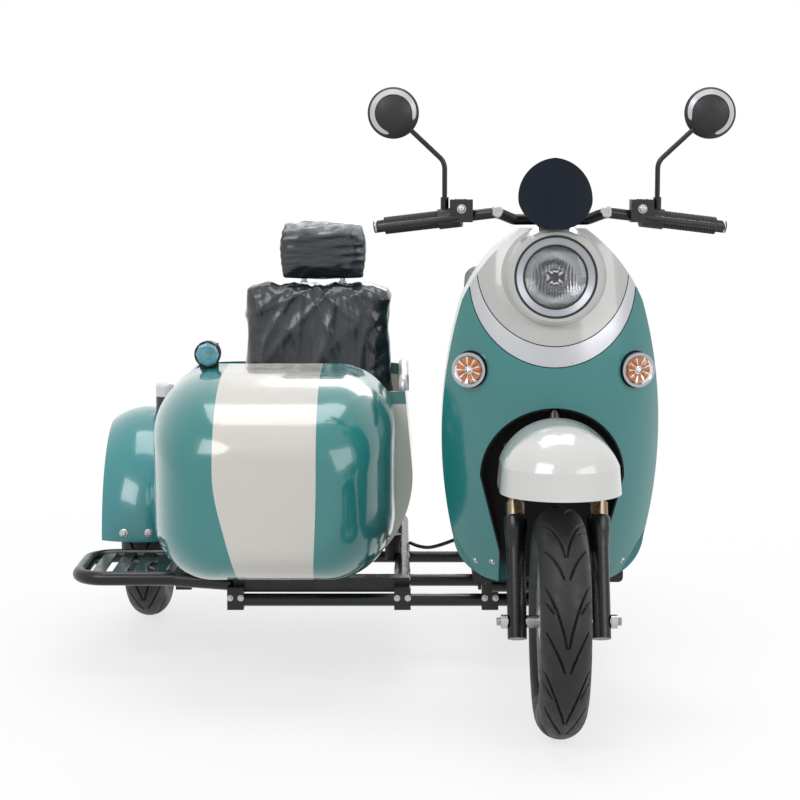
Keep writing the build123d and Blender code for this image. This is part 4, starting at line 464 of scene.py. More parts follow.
def skin(builder, rings, loop=False):
    """Join a row of closed rings with faces, either in a loop or with a face on each end."""
    for first, second in zip(rings, rings[1:] + rings[:1] if loop else rings[1:]):
        bridge(builder, first, second)
    if not loop:
        builder.faces.new(rings[0])
        builder.faces.new(rings[-1])


def lathe(builder, profile, matrix, steps):
    """Add a profile of (radius, height) turned about the matrix's Z axis."""
    rings = []
    for radius, height in profile:
        if radius == 0:
            rings.append([builder.verts.new(matrix @ Vector((0, 0, height / 1000)))])
            continue
        ring = []
        for step in range(steps):
            angle = 2 * math.pi * step / steps
            spoke = Vector((radius * math.cos(angle), radius * math.sin(angle), height)) / 1000
            ring.append(builder.verts.new(matrix @ spoke))
        rings.append(ring)
    for first, second in zip(rings, rings[1:]):
        if len(first) == len(second):
            bridge(builder, first, second)
            continue
        for step in range(steps):
            after = (step + 1) % steps
            if len(first) == 1:
                builder.faces.new((first[0], second[step], second[after]))
            else:
                builder.faces.new((first[step], first[after], second[0]))


def screw(builder, place, normal, radius, steps=20):
    """Add a round-headed screw with a socket in its head."""
    lathe(builder, (
        (radius * 1.25, -0.6), (radius * 1.25, 0.5), (radius, 0.6), (radius * 0.97, radius * 0.35),
        (radius * 0.7, radius * 0.62), (radius * 0.45, radius * 0.68), (radius * 0.4, radius * 0.2),
        (0, radius * 0.15),
    ), facing(place, normal), steps)


def hex_bolt(builder, place, normal, radius, height):
    """Add a bolt head on its washer."""
    matrix = facing(place, normal)
    lathe(builder, (
        (radius * 1.5, -0.5), (radius * 1.5, 1.2), (radius * 1.42, 1.6), (radius * 0.9, 1.6),
    ), matrix, 28)
    lathe(builder, (
        (radius, 1.4), (radius, height * 0.85), (radius * 0.86, height), (radius * 0.3, height * 1.05),
        (0, height * 1.05),
    ), matrix, 6)


def seat_on(node, start, direction):
    """Where a line from a place meets a solid, and the face's normal."""
    hit, place, normal, _ = NODES[node].ray_cast(Vector(start), Vector(direction).normalized())
    if not hit:
        raise ValueError(f"nothing of {node} lies on that line")
    return place, normal


def strip(builder, hits, half_width, sunk, raised, loop=False):
    """Add a closed thin band along places on a surface, sunk a little into it."""
    rows = []
    last = len(hits) - 1
    for index, (place, normal) in enumerate(hits):
        before = hits[index - 1 if index or loop else 0][0]
        after = hits[(index + 1) % len(hits) if index < last or loop else last][0]
        side = normal.cross(after - before).normalized() * half_width / 1000
        rows.append([
            builder.verts.new(place + side * across + normal * lift / 1000)
            for across, lift in ((-1, -sunk), (-1, raised), (1, raised), (1, -sunk))
        ])
    skin(builder, rows, loop)


def arc3(p, q, r, count):
    """Points on the arc through three points in a plane, without the last one."""
    (ax, ay), (bx, by), (cx, cy) = p, q, r
    a2, b2, c2 = ax * ax + ay * ay, bx * bx + by * by, cx * cx + cy * cy
    d = 2 * (ax * (by - cy) + bx * (cy - ay) + cx * (ay - by))
    ux = (a2 * (by - cy) + b2 * (cy - ay) + c2 * (ay - by)) / d
    uy = (a2 * (cx - bx) + b2 * (ax - cx) + c2 * (bx - ax)) / d
    radius = math.hypot(ax - ux, ay - uy)
    angles = [math.atan2(y - uy, x - ux) for x, y in (p, q, r)]
    for index in (1, 2):
        while angles[index] - angles[index - 1] > math.pi:
            angles[index] -= 2 * math.pi
        while angles[index] - angles[index - 1] < -math.pi:
            angles[index] += 2 * math.pi
    turn = angles[2] - angles[0]
    return [
        (ux + radius * math.cos(angles[0] + turn * step / count),
         uy + radius * math.sin(angles[0] + turn * step / count))
        for step in range(count)
    ]


# Tyres with a curved tread
PITCHES = 8
AROUND = 480
GROOVE_DEEP = 4.4
GROOVE_SLOPE = 0.6
# Each pitch has three pairs of grooves: where they start in the pitch, their inner and outer ends across the
# crown, the share of the pitch that they climb, their bend and their half width
CHEVRONS = (
    (0.0, 2.5, 41.0, 0.72, 1.35, 1.7),
    (0.72, 5.0, 37.0, 0.44, 1.2, 1.9),
    (0.36, 24.0, 43.0, 0.2, 1.0, 1.5),
)
# The section's corners: half width and radius
BEAD_IN = (28.0, 127.5)
BEAD_OUT = (28.0, 138.0)
FLANK = (46.0, (137 + TYRE_R) / 2 - 4)
SHOULDER = (38.0, 196.0)
FLANK_STEPS, CROWN_STEPS = 9, 72
TREAD_FROM_R = 186.0


def groove(turn, across):
    """How deep the tread is cut at a share of a pitch and a place across the crown."""
    side = abs(across)
    cut = 0.0
    for start, inner, outer, climb, bend, half in CHEVRONS:
        share = ((turn - start) % 1.0) / climb
        if share > 1.0:
            continue
        line = inner + (outer - inner) * share ** bend
        width = half * (0.45 + 0.55 * math.sin(math.pi * min(1.0, share * 0.9 + 0.1)))
        cut = max(cut, 1 - (abs(side - line) / (width + GROOVE_SLOPE)) ** 3)
    return GROOVE_DEEP * max(0.0, cut)


def left(corner):
    """A corner of a tyre's section on its left side."""
    half, radius = corner
    return -half, radius


def make_tyre(name, body, node, x, y):
    """Build a tyre on the solid's own section, with grooves cut into its crown."""
    section = [left(BEAD_IN)]
    section += arc3(left(BEAD_OUT), left(FLANK), left(SHOULDER), FLANK_STEPS)
    section += arc3(left(SHOULDER), (0, TYRE_R), SHOULDER, CROWN_STEPS)
    section += arc3(SHOULDER, FLANK, BEAD_OUT, FLANK_STEPS)
    section += [BEAD_OUT, BEAD_IN]
    builder = bmesh.new()
    centre = at(x, y, TYRE_R)
    rings = []
    for step in range(AROUND):
        angle = 2 * math.pi * step / AROUND
        turn = (step * PITCHES / AROUND) % 1.0
        ring = []
        for across, radius in section:
            if radius > TREAD_FROM_R:
                radius -= groove(turn, across)
            ring.append(builder.verts.new(centre + Vector((
                across / 1000, -radius / 1000 * math.cos(angle), radius / 1000 * math.sin(angle)
            ))))
        rings.append(ring)
    skin(builder, rings, loop=True)
    piece(name, builder, rubber, body, replaces=(node,))


make_tyre("front_tread", "front_wheel", "front_tyre", 0, 0)
make_tyre("rear_tread", "rear_wheel", "rear_tyre", 0, WHEELBASE)
make_tyre("sidecar_tread", "sidecar_wheel", "sidecar_tyre", SIDECAR_WHEEL_X, SIDECAR_WHEEL_Y)


# Upholstery: sizes in metres
VOXEL = 0.006
PRESSURE = 4.0
CLOTH_FRAMES = 20
HEAD_FOOT_Z = 0.782
PROUD_AHEAD, PROUD_ABOVE, LIFTED = 0.002, 0.003, 0.0004


def apply_modifiers(obj):
    """Turn an object's modified form into its own mesh."""
    graph = bpy.context.evaluated_depsgraph_get()
    mesh = bpy.data.meshes.new_from_object(obj.evaluated_get(graph))
    old = obj.data
    obj.modifiers.clear()
    obj.data = mesh
    bpy.data.meshes.remove(old)


def soft_copy(name, node, shrink, keep_above):
    """A new mesh object from a solid's own form, drawn in a little, as even quads."""
    builder = bmesh.new()
    builder.from_mesh(NODES[node].data)
    bmesh.ops.remove_doubles(builder, verts=builder.verts, dist=1e-5)
    if keep_above is not None:
        bmesh.ops.bisect_plane(
            builder, geom=builder.verts[:] + builder.edges[:] + builder.faces[:],
            plane_co=(0, 0, keep_above), plane_no=(0, 0, -1), clear_outer=True,
        )
        bmesh.ops.holes_fill(builder, edges=builder.edges)
    low = [min(v.co[i] for v in builder.verts) for i in range(3)]
    high = [max(v.co[i] for v in builder.verts) for i in range(3)]
    middle = Vector([(a + b) / 2 for a, b in zip(low, high)])
    for vert in builder.verts:
        for i in range(3):
            half = (high[i] - low[i]) / 2
            vert.co[i] = middle[i] + (vert.co[i] - middle[i]) * (half - shrink) / half
    mesh = bpy.data.meshes.new(name)
    builder.to_mesh(mesh)
    builder.free()
    obj = bpy.data.objects.new(name, mesh)
    SCENE.collection.objects.link(obj)
    remesh = obj.modifiers.new("even", "REMESH")
    remesh.mode = "VOXEL"
    remesh.voxel_size = VOXEL
    apply_modifiers(obj)
    return obj


def inflate(obj, cap):
    """Swell a pad with a short cloth run, capped."""
    rest = [v.co.copy() for v in obj.data.vertices]
    cloth = obj.modifiers.new("pad", "CLOTH")
    settings = cloth.settings
    settings.use_pressure = True
    settings.uniform_pressure_force = PRESSURE
    settings.tension_stiffness = 12
    settings.compression_stiffness = 12
    settings.shear_stiffness = 6
    settings.bending_stiffness = 0.6
    settings.quality = 4
    settings.effector_weights.gravity = 0
    cloth.point_cache.frame_start = 1
    cloth.point_cache.frame_end = CLOTH_FRAMES
    for number in range(1, CLOTH_FRAMES + 1):
        SCENE.frame_set(number)
    apply_modifiers(obj)
    SCENE.frame_set(1)
    for vert, was in zip(obj.data.vertices, rest):
        move = vert.co - was
        if move.length > cap:
            vert.co = was + move.normalized() * cap


def dent(obj, depth_at):
    """Move each point along its normal by a depth worked out from its place."""
    normals = [v.normal.copy() for v in obj.data.vertices]
    for vert, normal in zip(obj.data.vertices, normals):
        vert.co += normal * depth_at(vert.co, normal)


def fit(obj, low, high):
    """Stretch an upholstered piece so that it just fills a box."""
    for i in range(3):
        values = [vert.co[i] for vert in obj.data.vertices]
        was_low, was_high = min(values), max(values)
        scale = (high[i] - low[i]) / (was_high - was_low)
        for vert in obj.data.vertices:
            vert.co[i] = low[i] + (vert.co[i] - was_low) * scale


def square_up(obj, upper, lower):
    """Push a pad's corners, seen from the front, out towards its box, by a share for each half."""
    xs = [vert.co.x for vert in obj.data.vertices]
    zs = [vert.co.z for vert in obj.data.vertices]
    middle_x, half_x = (min(xs) + max(xs)) / 2, (max(xs) - min(xs)) / 2
    middle_z, half_z = (min(zs) + max(zs)) / 2, (max(zs) - min(zs)) / 2
    for vert in obj.data.vertices:
        u, w = (vert.co.x - middle_x) / half_x, (vert.co.z - middle_z) / half_z
        reach = max(abs(u), abs(w))
        if reach > 1e-6:
            push = ((u ** 4 + w ** 4) ** 0.25 / reach) ** (upper if w > 0 else lower)
            vert.co.x = middle_x + u * push * half_x
            vert.co.z = middle_z + w * push * half_z


def upholster(name, node, made, body, shrink, cap, folds, grow=0.0, keep_above=None, square=None):
    """Make a padded piece from a solid, with its folds, on its body, wider than the solid if need be."""
    obj = soft_copy(name, node, shrink, keep_above)
    inflate(obj, cap)
    if square:
        square_up(obj, *square)
    dent(obj, folds)
    low, high = (list(corner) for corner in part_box(node))
    if keep_above is not None:
        low[2] = keep_above
    fit(
        obj,
        [low[0] - grow, low[1] - PROUD_AHEAD, low[2] + LIFTED],
        [high[0] + grow, high[1] + PROUD_AHEAD, high[2] + PROUD_ABOVE],
    )
    obj.data.materials.clear()
    obj.data.materials.append(made.mat)
    obj.data.shade_smooth()
    smooth = obj.modifiers.new("smooth", "SUBSURF")
    smooth.levels = 1
    smooth.render_levels = 1
    finish_piece(obj, body, (node,))


def valley(value, middle, half):
    """1 at the middle of a sewn line, falling to nothing beside it."""
    return math.exp(-((value - middle) / half) ** 2)


def back_folds(co, normal):
    """Film creases that fan down from the two headrest posts, and finer upright ones between them."""
    total = 0.0
    for post_x, phase in zip(POST_XS, (0.4, 1.9)):
        place = at(post_x, 1100, 790)
        dx, dz = co.x - place.x, place.z - co.z
        reach = math.hypot(dx, dz)
        angle = math.atan2(dx, dz + 1e-6)
        fade = min(1.0, reach / 0.07) * math.exp(-reach / 0.28)
        crease = 1 - abs(math.sin(angle * 7 + phase + 1.6 * noise.noise(co * 6)))
        total += (crease ** 2 - 0.35) * 0.0058 * fade
    upright = 1 - abs(noise.noise(Vector((co.x * 34, co.y * 10, co.z * 6))))
    return total + 0.0034 * (upright ** 3 - 0.6)


def head_folds(co, normal):
    """Film drawn round the headrest in slack level wrinkles."""
    ripple = math.sin(co.z * 330 + 4.0 * noise.noise(co * 10) + 2.0 * math.sin(co.x * 20))
    slack = 0.4 + noise.noise(co * 14 + Vector((3, 1, 2)))
    return 0.0022 * ripple * slack + 0.001 * noise.noise(co * 40)


def seat_folds(co, normal):
    """Two sewn channels across a cushion, and slack between them."""
    depth = 0.0
    if normal.z > 0.5:
        for channel_y in (0.16, 0.27):
            depth -= 0.006 * valley(co.y, channel_y, 0.007)
    return depth + 0.0018 * noise.noise(co * 16)


def saddle_folds(co, normal):
    """A sewn line along the saddle's side and one across it, and faint slack on top."""
    seam = valley(co.z, 0.735, 0.004) if abs(normal.z) < 0.6 else 0.0
    cross = valley(co.y, 0.40, 0.006) if normal.z > 0.4 else 0.0
    return -0.003 * seam - 0.004 * cross + 0.0012 * noise.noise(co * 11)


upholster("seat_pad", "seat_cushion", vinyl, "chassis", 0.005, 0.010, seat_folds)
upholster(
    "back_pad", "backrest", vinyl, "chassis", 0.004, 0.008, back_folds,
    grow=0.005, square=(0.4, 0.8),
)
upholster(
    "head_pad", "headrest", head_vinyl, "chassis", 0.004, 0.008, head_folds,
    grow=0.003, keep_above=HEAD_FOOT_Z, square=(0.6, 1.0),
)
upholster("saddle_cover", "saddle_pad", saddle_vinyl, "saddle", 0.006, 0.008, saddle_folds)

POST_Y, POST_FOOT_Z = 1111.6, 776
posts = bmesh.new()
for post_x in POST_XS:
    lathe(
        posts, ((0, 0), (9.5, 0), (9.5, 3), (6, 4), (6, 22), (0, 22)),
        facing(at(post_x, POST_Y, POST_FOOT_Z), UP), 20,
    )
piece("headrest_posts", posts, steel, "chassis")


# The wiring lead
LEAD_ROUTE = ((-153, 690, 250), (-205, 720, 222), (-245, 800, 200), (-272, 880, 198))
lead_curve = bpy.data.curves.new("lead", "CURVE")
lead_curve.dimensions = "3D"
lead_spline = lead_curve.splines.new("NURBS")
lead_spline.points.add(len(LEAD_ROUTE) - 1)
for point, place in zip(lead_spline.points, LEAD_ROUTE):
    point.co = (*at(*place), 1.0)
lead_spline.order_u = 3
lead_spline.use_endpoint_u = True
lead_spline.resolution_u = 24
lead_curve.bevel_depth = 0.004
lead_curve.bevel_resolution = 4
lead_curve.materials.append(plastic.mat)
lead = bpy.data.objects.new("lead", lead_curve)
SCENE.collection.objects.link(lead)
finish_piece(lead, "chassis", ("wiring_lead",))


# Headlamp: gaskets, a lens that is domed outside and has upright flutes inside, and trim on the bulb's boss
lamp_look = Vector((0, -math.cos(LAMP_TILT), math.sin(LAMP_TILT)))
lamp_matrix = facing(at(0, LAMP_Y, LAMP_Z), lamp_look)
gaskets = bmesh.new()
lathe(gaskets, ((74.2, -2.4), (74.8, 0.7), (78.6, 0.9), (79.4, -0.6)), lamp_matrix, 72)
lathe(gaskets, ((57.6, -9.0), (58.4, -6.4), (61.0, -6.0), (62.4, -8.0)), lamp_matrix, 64)
piece("lamp_gaskets", gaskets, plastic, "chassis")

LENS_R, LENS_RIM_DEEP, LENS_BACK_DEEP = 59.8, 8.0, 10.6
FLUTES, FLUTE_STEPS, FLUTE_DEEP = 22, 6, 0.95
LENS_COLUMNS, LENS_ROWS = FLUTES * FLUTE_STEPS, 28
LENS_REACH = LENS_R * 0.999


def lens_face(builder, back):
    """Add the lens's front or back as a grid of upright columns."""
    grid = []
    for column in range(LENS_COLUMNS + 1):
        across = LENS_REACH * (2 * column / LENS_COLUMNS - 1)
        reach = math.sqrt(LENS_R ** 2 - across ** 2)
        flute = FLUTE_DEEP * abs(math.sin(math.pi * column / FLUTE_STEPS))
        line = []
        for row in range(LENS_ROWS + 1):
            up = reach * (2 * row / LENS_ROWS - 1)
            share = (across ** 2 + up ** 2) / LENS_R ** 2
            deep = LENS_BACK_DEEP + flute * (1 - share) if back else LENS_RIM_DEEP * share
            line.append(builder.verts.new(lamp_matrix @ (Vector((across, up, -deep)) / 1000)))
        grid.append(line)
    for first, second in zip(grid, grid[1:]):
        for row in range(LENS_ROWS):
            builder.faces.new((first[row], first[row + 1], second[row + 1], second[row]))
    return grid


def lens_rim(grid):
    """The points round the edge of one of the lens's faces."""
    top = [line[-1] for line in grid[1:-1]]
    foot = [line[0] for line in grid[1:-1]]
    return grid[0] + top + grid[-1][::-1] + foot[::-1]


fluted = bmesh.new()
lens_front, lens_back = (lens_face(fluted, back) for back in (False, True))
bridge(fluted, lens_rim(lens_front), lens_rim(lens_back))
piece("fluted_lens", fluted, lens, "chassis", replaces=("headlamp_lens",))

collar = bmesh.new()
lathe(collar, (
    (14.4, -31), (15.9, -31), (15.9, -23), (15.2, -22.4), (13.2, -22.4), (12.8, -24.5), (14.4, -24.5),
    (14.4, -31),
), lamp_matrix, 40)
piece("bulb_collar", collar, plastic, "chassis")
cap = bmesh.new()
lathe(cap, (
    (0, -24.6), (9.6, -24.6), (9.6, -20.6), (8.8, -19.6), (7.2, -19.4), (6.6, -21), (4.4, -21), (3.8, -19),
    (0, -18.6),
), lamp_matrix, 40)
piece("bulb_cap", cap, plastic, "chassis")

# Seams where the shield, the silver band and the cowl meet, each found just inside the band's edge
SEAM_STEPS = 120
SEAM_INSIDE = 0.7
STEEPEST = -0.2
seams = bmesh.new()
for radius, centre_z in ((BAND_R - SEAM_INSIDE, BAND_Z), (COWL_R + SEAM_INSIDE, COWL_Z)):
    hits = []
    for step in range(SEAM_STEPS + 1):
        angle = math.radians(180 + 180 * step / SEAM_STEPS)
        start = at(radius * math.cos(angle), FAR_AHEAD_Y, centre_z + radius * math.sin(angle))
        hit, place, normal, _ = NODES["silver_band"].ray_cast(start, BACK)
        if hit and normal.y < STEEPEST:
            hits.append((place, normal))
    strip(seams, hits, 0.9, 0.5, 0.25)
piece("band_seams", seams, liner, "chassis")

# Turn signals: a bright bowl and amber facets behind each clear lens, and a black seal ring on the shield that
# also stands for painted shade round the bezel
BOWL_SET_BACK = 0.0056
SEAL_AND_SHADE_STEPS = 64
SEAL_AND_SHADE_R = 0.0346
CAST_FROM = 0.2
FACETS = 9
# A facet's corners by turn, radius and height: two at its inner and two at its outer end, and its ridge's ends
FACET = ((-0.3, 8, 0.5), (0.3, 8, 0.5), (0.26, 23.5, 0.7), (-0.26, 23.5, 0.7), (0.0, 9, 3.4), (0.0, 22, 4.2))
bowls = bmesh.new()
facets = bmesh.new()
signal_seals_and_shade = bmesh.new()
for side in SIDES:
    look = Vector((side * math.sin(SIGNAL_TURN), -math.cos(SIGNAL_TURN), 0))
    centre = at(side * SIGNAL_X, SIGNAL_Y, SIGNAL_Z)
    matrix = facing(centre - look * BOWL_SET_BACK, look)
    lathe(bowls, (
        (27.4, 0.2), (27.2, 1.6), (25.5, 0.4), (6, 0.2), (6, 4.5), (4.5, 6.0), (0, 6.4),
    ), matrix, 36)
    hits = []
    for step in range(SEAL_AND_SHADE_STEPS):
        angle = 2 * math.pi * step / SEAL_AND_SHADE_STEPS
        spoke = matrix.to_3x3() @ Vector((math.cos(angle), math.sin(angle), 0)) * SEAL_AND_SHADE_R
        hits.append(seat_on("leg_shield", centre + spoke + look * CAST_FROM, -look))
    # A black seal ring all round the bezel, which also paints the shade beside it
    strip(signal_seals_and_shade, hits, 1.3, 0.6, 1.4, loop=True)
    for number in range(FACETS):
        angle = 2 * math.pi * number / FACETS
        corners = []
        for turn, radius, lift in FACET:
            spoke = Vector((radius * math.cos(angle + turn), radius * math.sin(angle + turn), lift)) / 1000
            corners.append(facets.verts.new(matrix @ spoke))
        inner_a, inner_b, outer_b, outer_a, ridge_in, ridge_out = corners
        facets.faces.new((inner_a, ridge_in, ridge_out, outer_a))
        facets.faces.new((ridge_in, inner_b, outer_b, ridge_out))
        facets.faces.new((inner_a, inner_b, ridge_in))
        facets.faces.new((outer_a, ridge_out, outer_b))
        facets.faces.new((inner_a, outer_a, outer_b, inner_b))
piece("signal_seals_and_shade", signal_seals_and_shade, liner, "chassis")
piece("signal_bowls", bowls, chrome, "chassis")
piece("signal_facets", facets, amber, "chassis", smooth=False)

# The sidecar's auxiliary lamp: an eight-sided lens in a rim, and a screwed plate under it
aux_matrix = facing(at(AUX_X, 576, 658), AHEAD)
aux_lens = bmesh.new()
lathe(aux_lens, (
    (25.2, -0.5), (25.2, 2.2), (22, 4.6), (17, 5.4), (16, 4.2), (9, 5.0), (8, 6.8), (0, 7.4),
), aux_matrix, 8)
piece("aux_lens", aux_lens, blue, "chassis")
aux_rim = bmesh.new()
lathe(aux_rim, (
    (25.6, -1), (25.6, 2.0), (26.4, 2.8), (27.4, 2.4), (27.8, 1.2), (27.8, -8), (26.2, -9),
), aux_matrix, 40)
piece("aux_rim", aux_rim, plastic, "chassis")
PLATE_Z = 617
PLATE_SIZE = (0.034, 0.006, 0.016, 1)
plate = bmesh.new()
plate_matrix = Matrix.Translation(at(AUX_X, 611, PLATE_Z)) @ Matrix.Diagonal(PLATE_SIZE)
bmesh.ops.create_cube(plate, size=1.0, matrix=plate_matrix)
bmesh.ops.bevel(plate, geom=plate.edges[:], offset=0.0015, segments=2, affect="EDGES")
for shift in (-9, 9):
    screw(plate, at(AUX_X + shift, 608, PLATE_Z), AHEAD, 3.2, 16)
piece("aux_plate", plate, silver, "chassis")


# Handlebar: knuckles and end caps, screws and caps on the reservoirs, and a switch on each side
trim = bmesh.new()
for side in SIDES:
    knuckle, end = on_side(side, BAR_KNUCKLE), on_side(side, BAR_END)
    lathe(trim, (
        (0, -14), (9.5, -14), (11.5, -12), (11.5, 12), (9.5, 14.5), (4, 14.5), (3.5, 12.5), (0, 12.5),
    ), facing(knuckle, (0, -1, 0.1)), 30)
    along = (end - knuckle).normalized()
    lathe(trim, (
        (0, -1), (11, -1), (12.6, 1), (12.6, 3.5), (9, 5.2), (0, 5.6),
    ), facing(end - along * 0.0062, along), 28)
piece("bar_knuckles", trim, steel, "steering")


def bar_place(side, inward):
    """A place on a bar, measured in millimetres inwards from its end."""
    end, knuckle = on_side(side, BAR_END), on_side(side, BAR_KNUCKLE)
    return end + (knuckle - end).normalized() * inward / 1000


RESERVOIR_IN, SWITCH_IN = 174, 152
caps = bmesh.new()
buttons = bmesh.new()
for side in SIDES:
    tank = bar_place(side, RESERVOIR_IN)
    screw(caps, *seat_on("controls", tank + Vector((0, -0.2, 0.016)), BACK), 7.0, 24)
    lathe(caps, (
        (0, 0.1), (12.5, 0.1), (12.5, 1.6), (11.5, 2.2), (0, 2.2),
    ), facing(*seat_on("controls", tank + Vector((0, -0.01, 0.2)), -UP)), 28)
    pod = bar_place(side, SWITCH_IN)
    lathe(buttons, (
        (0, -1), (6.5, -1), (6.5, 2.6), (5.2, 3.6), (0, 3.9),
    ), facing(*seat_on("controls", pod + Vector((0, 0.2, 0.004)), AHEAD)), 24)
piece("reservoir_screws", caps, steel, "steering")
piece("switch_buttons", buttons, white, "steering")

# Mirrors: a bright crescent on each back, open towards the stem, and the glass on the rider's side
CRESCENT_STEPS = 40
CRESCENT_GAP = math.radians(41)
CRESCENT_R, CRESCENT_WIDE, CRESCENT_TIP, CRESCENT_T = 0.0408, 0.0096, 0.0006, 0.0016
CRESCENT_SUNK = 0.0004
crescents = bmesh.new()
glasses = bmesh.new()
for side in SIDES:
    head = on_side(side, MIRROR)
    stem_angle = math.atan2(-1.8, -side)
    rows = []
    for step in range(CRESCENT_STEPS + 1):
        share = step / CRESCENT_STEPS
        angle = stem_angle + CRESCENT_GAP + share * (2 * math.pi - 2 * CRESCENT_GAP)
        wide = CRESCENT_WIDE * math.sin(math.pi * share) ** 0.2 + CRESCENT_TIP
        inner, outer = CRESCENT_R - wide / 2, CRESCENT_R + wide / 2
        row = []
        for radius, lift in ((inner, 0.0), (inner, CRESCENT_T), (outer, CRESCENT_T), (outer, 0.0)):
            spot = head + Vector((radius * math.cos(angle), 0, radius * math.sin(angle)))
            place, _ = seat_on("mirrors", spot + Vector((0, -0.1, 0)), BACK)
            row.append(crescents.verts.new(place + Vector((0, -lift + CRESCENT_SUNK, 0))))
        rows.append(row)
    skin(crescents, rows)
    lathe(glasses, (
        (0, 0.8), (30, 0.6), (45.5, 0.3), (46, -0.3),
    ), facing(head + Vector((0, 0.005, 0)), BACK), 48)
piece("mirror_crescents", crescents, silver, "steering")
piece("mirror_glasses", glasses, mirror_glass, "steering")

# Instrument dial on the rider's side, with a longer tick at every third place
TICKS, TICK_STEP, FIRST_TICK = 19, 15, -135
TICK_HALF, TICK_OUT, TICK_IN, LONG_TICK_IN = 0.0007, 0.031, 0.027, 0.024
dial_look = Vector((0, math.cos(DIAL_TILT), math.sin(DIAL_TILT)))
dial_place = at(0, DIAL_Y, DIAL_Z) + dial_look * 0.013
dial = bmesh.new()
lathe(dial, (
    (0, 0.2), (33, 0.2), (33.5, 1.6), (35.5, 2.4), (37.5, 1.6), (37.8, -0.5),
), facing(dial_place, dial_look), 44)
piece("dial", dial, dial_face, "chassis")
ticks = bmesh.new()
dial_matrix = facing(dial_place + dial_look * 0.0006, dial_look)
for tick in range(TICKS):
    turn = Matrix.Rotation(-math.radians(FIRST_TICK + tick * TICK_STEP), 4, "Z")
    inner = LONG_TICK_IN if tick % 3 == 0 else TICK_IN
    outline = ((-TICK_HALF, inner), (TICK_HALF, inner), (TICK_HALF, TICK_OUT), (-TICK_HALF, TICK_OUT))
    ticks.faces.new([ticks.verts.new(dial_matrix @ turn @ Vector((dx, r, 0))) for dx, r in outline])
piece("dial_ticks", ticks, white, "chassis", smooth=False)


# Fasteners on the shield and the mudguard
SHIELD_SCREWS = ((113, 278), (146, 276))
GUARD_BOLT_XS = (-908, -852)
GUARD_BOLT_Z = 240
screws = bmesh.new()
for side in SIDES:
    for across, up in SHIELD_SCREWS:
        screw(screws, *seat_on("leg_shield", at(side * across, FAR_AHEAD_Y, up), BACK), 5.0)
for across in GUARD_BOLT_XS:
    hex_bolt(screws, *seat_on("mudguard", at(across, 300, GUARD_BOLT_Z), BACK), 6.5, 6)
piece("panel_screws", screws, steel, "chassis")

# Dust seals on the fork's legs, and the axle's threaded ends
SEAL_FOOT_Z = 345
THREADS, THREAD_STEP, THREAD_R, THREAD_ROOT_R = 10, 0.8, 7.8, 7.1
seals = bmesh.new()
tips = bmesh.new()
thread = [(THREAD_R if step % 2 else THREAD_ROOT_R, step * THREAD_STEP) for step in range(THREADS)]
for side in SIDES:
    foot = at(side * LEG_X, (SEAL_FOOT_Z - TYRE_R) * math.tan(RAKE), SEAL_FOOT_Z)
    lathe(seals, (
        (17.4, 0), (18.3, 0), (20.6, 28), (21.8, 32), (21.8, 56), (20.6, 60), (18.4, 61.5), (17.4, 61.5),
        (17.4, 0),
    ), facing(foot, (0, math.sin(RAKE), math.cos(RAKE))), 40)
    lathe(
        tips, [(0, -0.5), (THREAD_ROOT_R, -0.5), *thread, (6.0, 8.0), (0, 8.0)],
        facing(at(side * AXLE_END_X, 0, TYRE_R), (side, 0, 0)), 28,
    )
piece("fork_seals", seals, black, "steering")
piece("axle_tips", tips, steel, "steering")

# Springs on the shock absorbers: a coil along each one
SHOCK_FOOT, SHOCK_TOP = (84, 1150, 216), (84, 1090, 446)
COIL_FROM, COIL_TO = 0.3, 0.9
TURNS, COIL_STEPS, WIRE_STEPS = 8, 26, 8
COIL_R, WIRE_R = 0.0205, 0.0034
coils = bmesh.new()
for side in SIDES:
    foot, top = on_side(side, SHOCK_FOOT), on_side(side, SHOCK_TOP)
    start, finish = foot.lerp(top, COIL_FROM), foot.lerp(top, COIL_TO)
    coil_matrix = facing(start, finish - start)
    run = (finish - start).length
    rings = []
    for step in range(TURNS * COIL_STEPS + 1):
        angle = 2 * math.pi * step / COIL_STEPS
        out = Vector((math.cos(angle), math.sin(angle), 0))
        middle = out * COIL_R + Vector((0, 0, run * step / (TURNS * COIL_STEPS)))
        ring = []
        for part in range(WIRE_STEPS):
            round_turn = 2 * math.pi * part / WIRE_STEPS
            wire = out * math.cos(round_turn) * WIRE_R + Vector((0, 0, math.sin(round_turn) * WIRE_R))
            ring.append(coils.verts.new(coil_matrix @ (middle + wire)))
        rings.append(ring)
    skin(coils, rings)
piece("shock_springs", coils, steel, "chassis")

# Bolts on the clamps: where each cross tube lies and its outer clamp, and where the inner clamps are
CROSS_TUBES = ((430, -633), (630, -760), (890, -760))
INNER_CLAMPS = (-290, -110, 110)
CLAMP_FACE, CLAMP_Z, BOLT_SHIFT = 17, 171, 11
clamp_bolts = bmesh.new()
for cross_y, outer in CROSS_TUBES:
    for hold_x in (outer, *INNER_CLAMPS):
        for shift in (-BOLT_SHIFT, BOLT_SHIFT):
            hex_bolt(clamp_bolts, at(hold_x + shift, cross_y - CLAMP_FACE, CLAMP_Z), AHEAD, 4.5, 4.5)
piece("clamp_bolts", clamp_bolts, steel, "chassis")


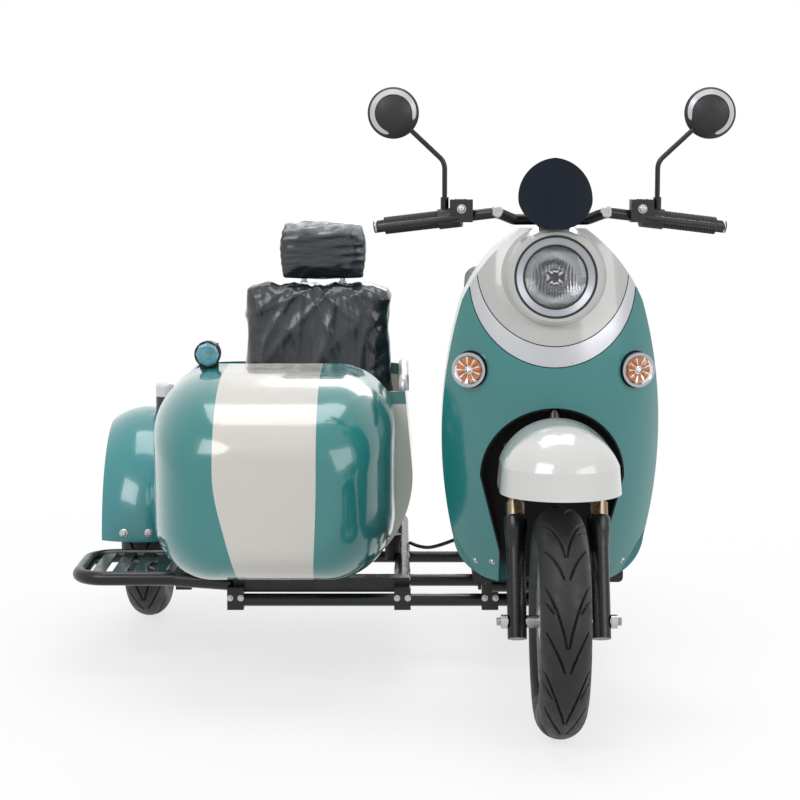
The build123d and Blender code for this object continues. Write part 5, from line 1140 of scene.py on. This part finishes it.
# Floor: white where it is a backdrop, darker near the part, where it keeps the shadow
FLOOR_HALF = 14.0
SHADOW_FROM, SHADOW_TO = 0.6, 2.2
floor_mesh = bpy.data.meshes.new("floor")
floor_mesh.from_pydata([
    (-FLOOR_HALF, -FLOOR_HALF, 0), (FLOOR_HALF, -FLOOR_HALF, 0), (FLOOR_HALF, FLOOR_HALF, 0),
    (-FLOOR_HALF, FLOOR_HALF, 0),
], [], [(0, 1, 2, 3)])
floor = bpy.data.objects.new("floor", floor_mesh)
SCENE.collection.objects.link(floor)
floor_paint = Mat("floor_paint", (0.84, 0.84, 0.84), 0.6)
floor_paint.vary(0.02, 0.6)
glow = floor_paint.node("ShaderNodeEmission")
glow.inputs["Color"].default_value = (1, 1, 1, 1)
squares = [floor_paint.math("POWER", floor_paint.axis(index), 2.0) for index in (0, 1)]
away = floor_paint.math("SQRT", floor_paint.math("ADD", *squares))
whiter = floor_paint.span(away, 0.72, 1.0, SHADOW_FROM, SHADOW_TO)
blend = floor_paint.node("ShaderNodeMixShader")
floor_paint.link(floor_paint.math("MULTIPLY", backdrop_rays(floor_paint.tree), whiter), blend.inputs["Fac"])
floor_paint.link(floor_paint.shader.outputs["BSDF"], blend.inputs[1])
floor_paint.link(glow.outputs["Emission"], blend.inputs[2])
floor_paint.link(blend.outputs["Shader"], floor_paint.tree.nodes["Material Output"].inputs["Surface"])
floor_mesh.materials.append(floor_paint.mat)

# World: white as a backdrop, dimmer as a light
WORLD_LIGHT = 0.4
world = bpy.data.worlds.new("studio")
SCENE.world = world
world.use_nodes = True
sky = world.node_tree
background = sky.nodes["Background"]
background.inputs["Color"].default_value = (1, 1, 1, 1)
backdrop = node_math(sky, "MULTIPLY", backdrop_rays(sky), 1 - WORLD_LIGHT)
sky.links.new(node_math(sky, "ADD", backdrop, WORLD_LIGHT), background.inputs["Strength"])


def lamp(name, place, look_at, width, power):
    """Add a soft studio lamp."""
    light = bpy.data.lights.new(name, "AREA")
    light.shape = "RECTANGLE"
    light.size = width
    light.size_y = width * 0.7
    light.energy = power
    obj = bpy.data.objects.new(name, light)
    obj.location = place
    obj.rotation_euler = (Vector(look_at) - Vector(place)).to_track_quat("-Z", "Y").to_euler()
    SCENE.collection.objects.link(obj)


lamp("key", (-2.4, -3.6, 3.6), (0, 0, 0.5), 2.8, 92)
lamp("fill", (3.2, -3.0, 2.2), (0, 0, 0.5), 2.8, 50)
lamp("top", (0, 0.6, 4.2), (0, 0, 0.4), 3.0, 75)
lamp("back", (0.6, 4.0, 2.6), (0, 0, 0.6), 2.2, 60)

# Camera at the photograph's place
camera_data = bpy.data.cameras.new("photo")
camera_data.lens = 94.05
camera_data.sensor_width = 36.0
camera_data.sensor_fit = "HORIZONTAL"
camera_data.clip_end = 60
camera = bpy.data.objects.new("photo", camera_data)
camera.location = (0.021, -4.442, 1.083)
camera.rotation_euler = (math.radians(83.2), 0, 0)
SCENE.collection.objects.link(camera)
SCENE.camera = camera

SCENE.view_settings.view_transform = "Standard"
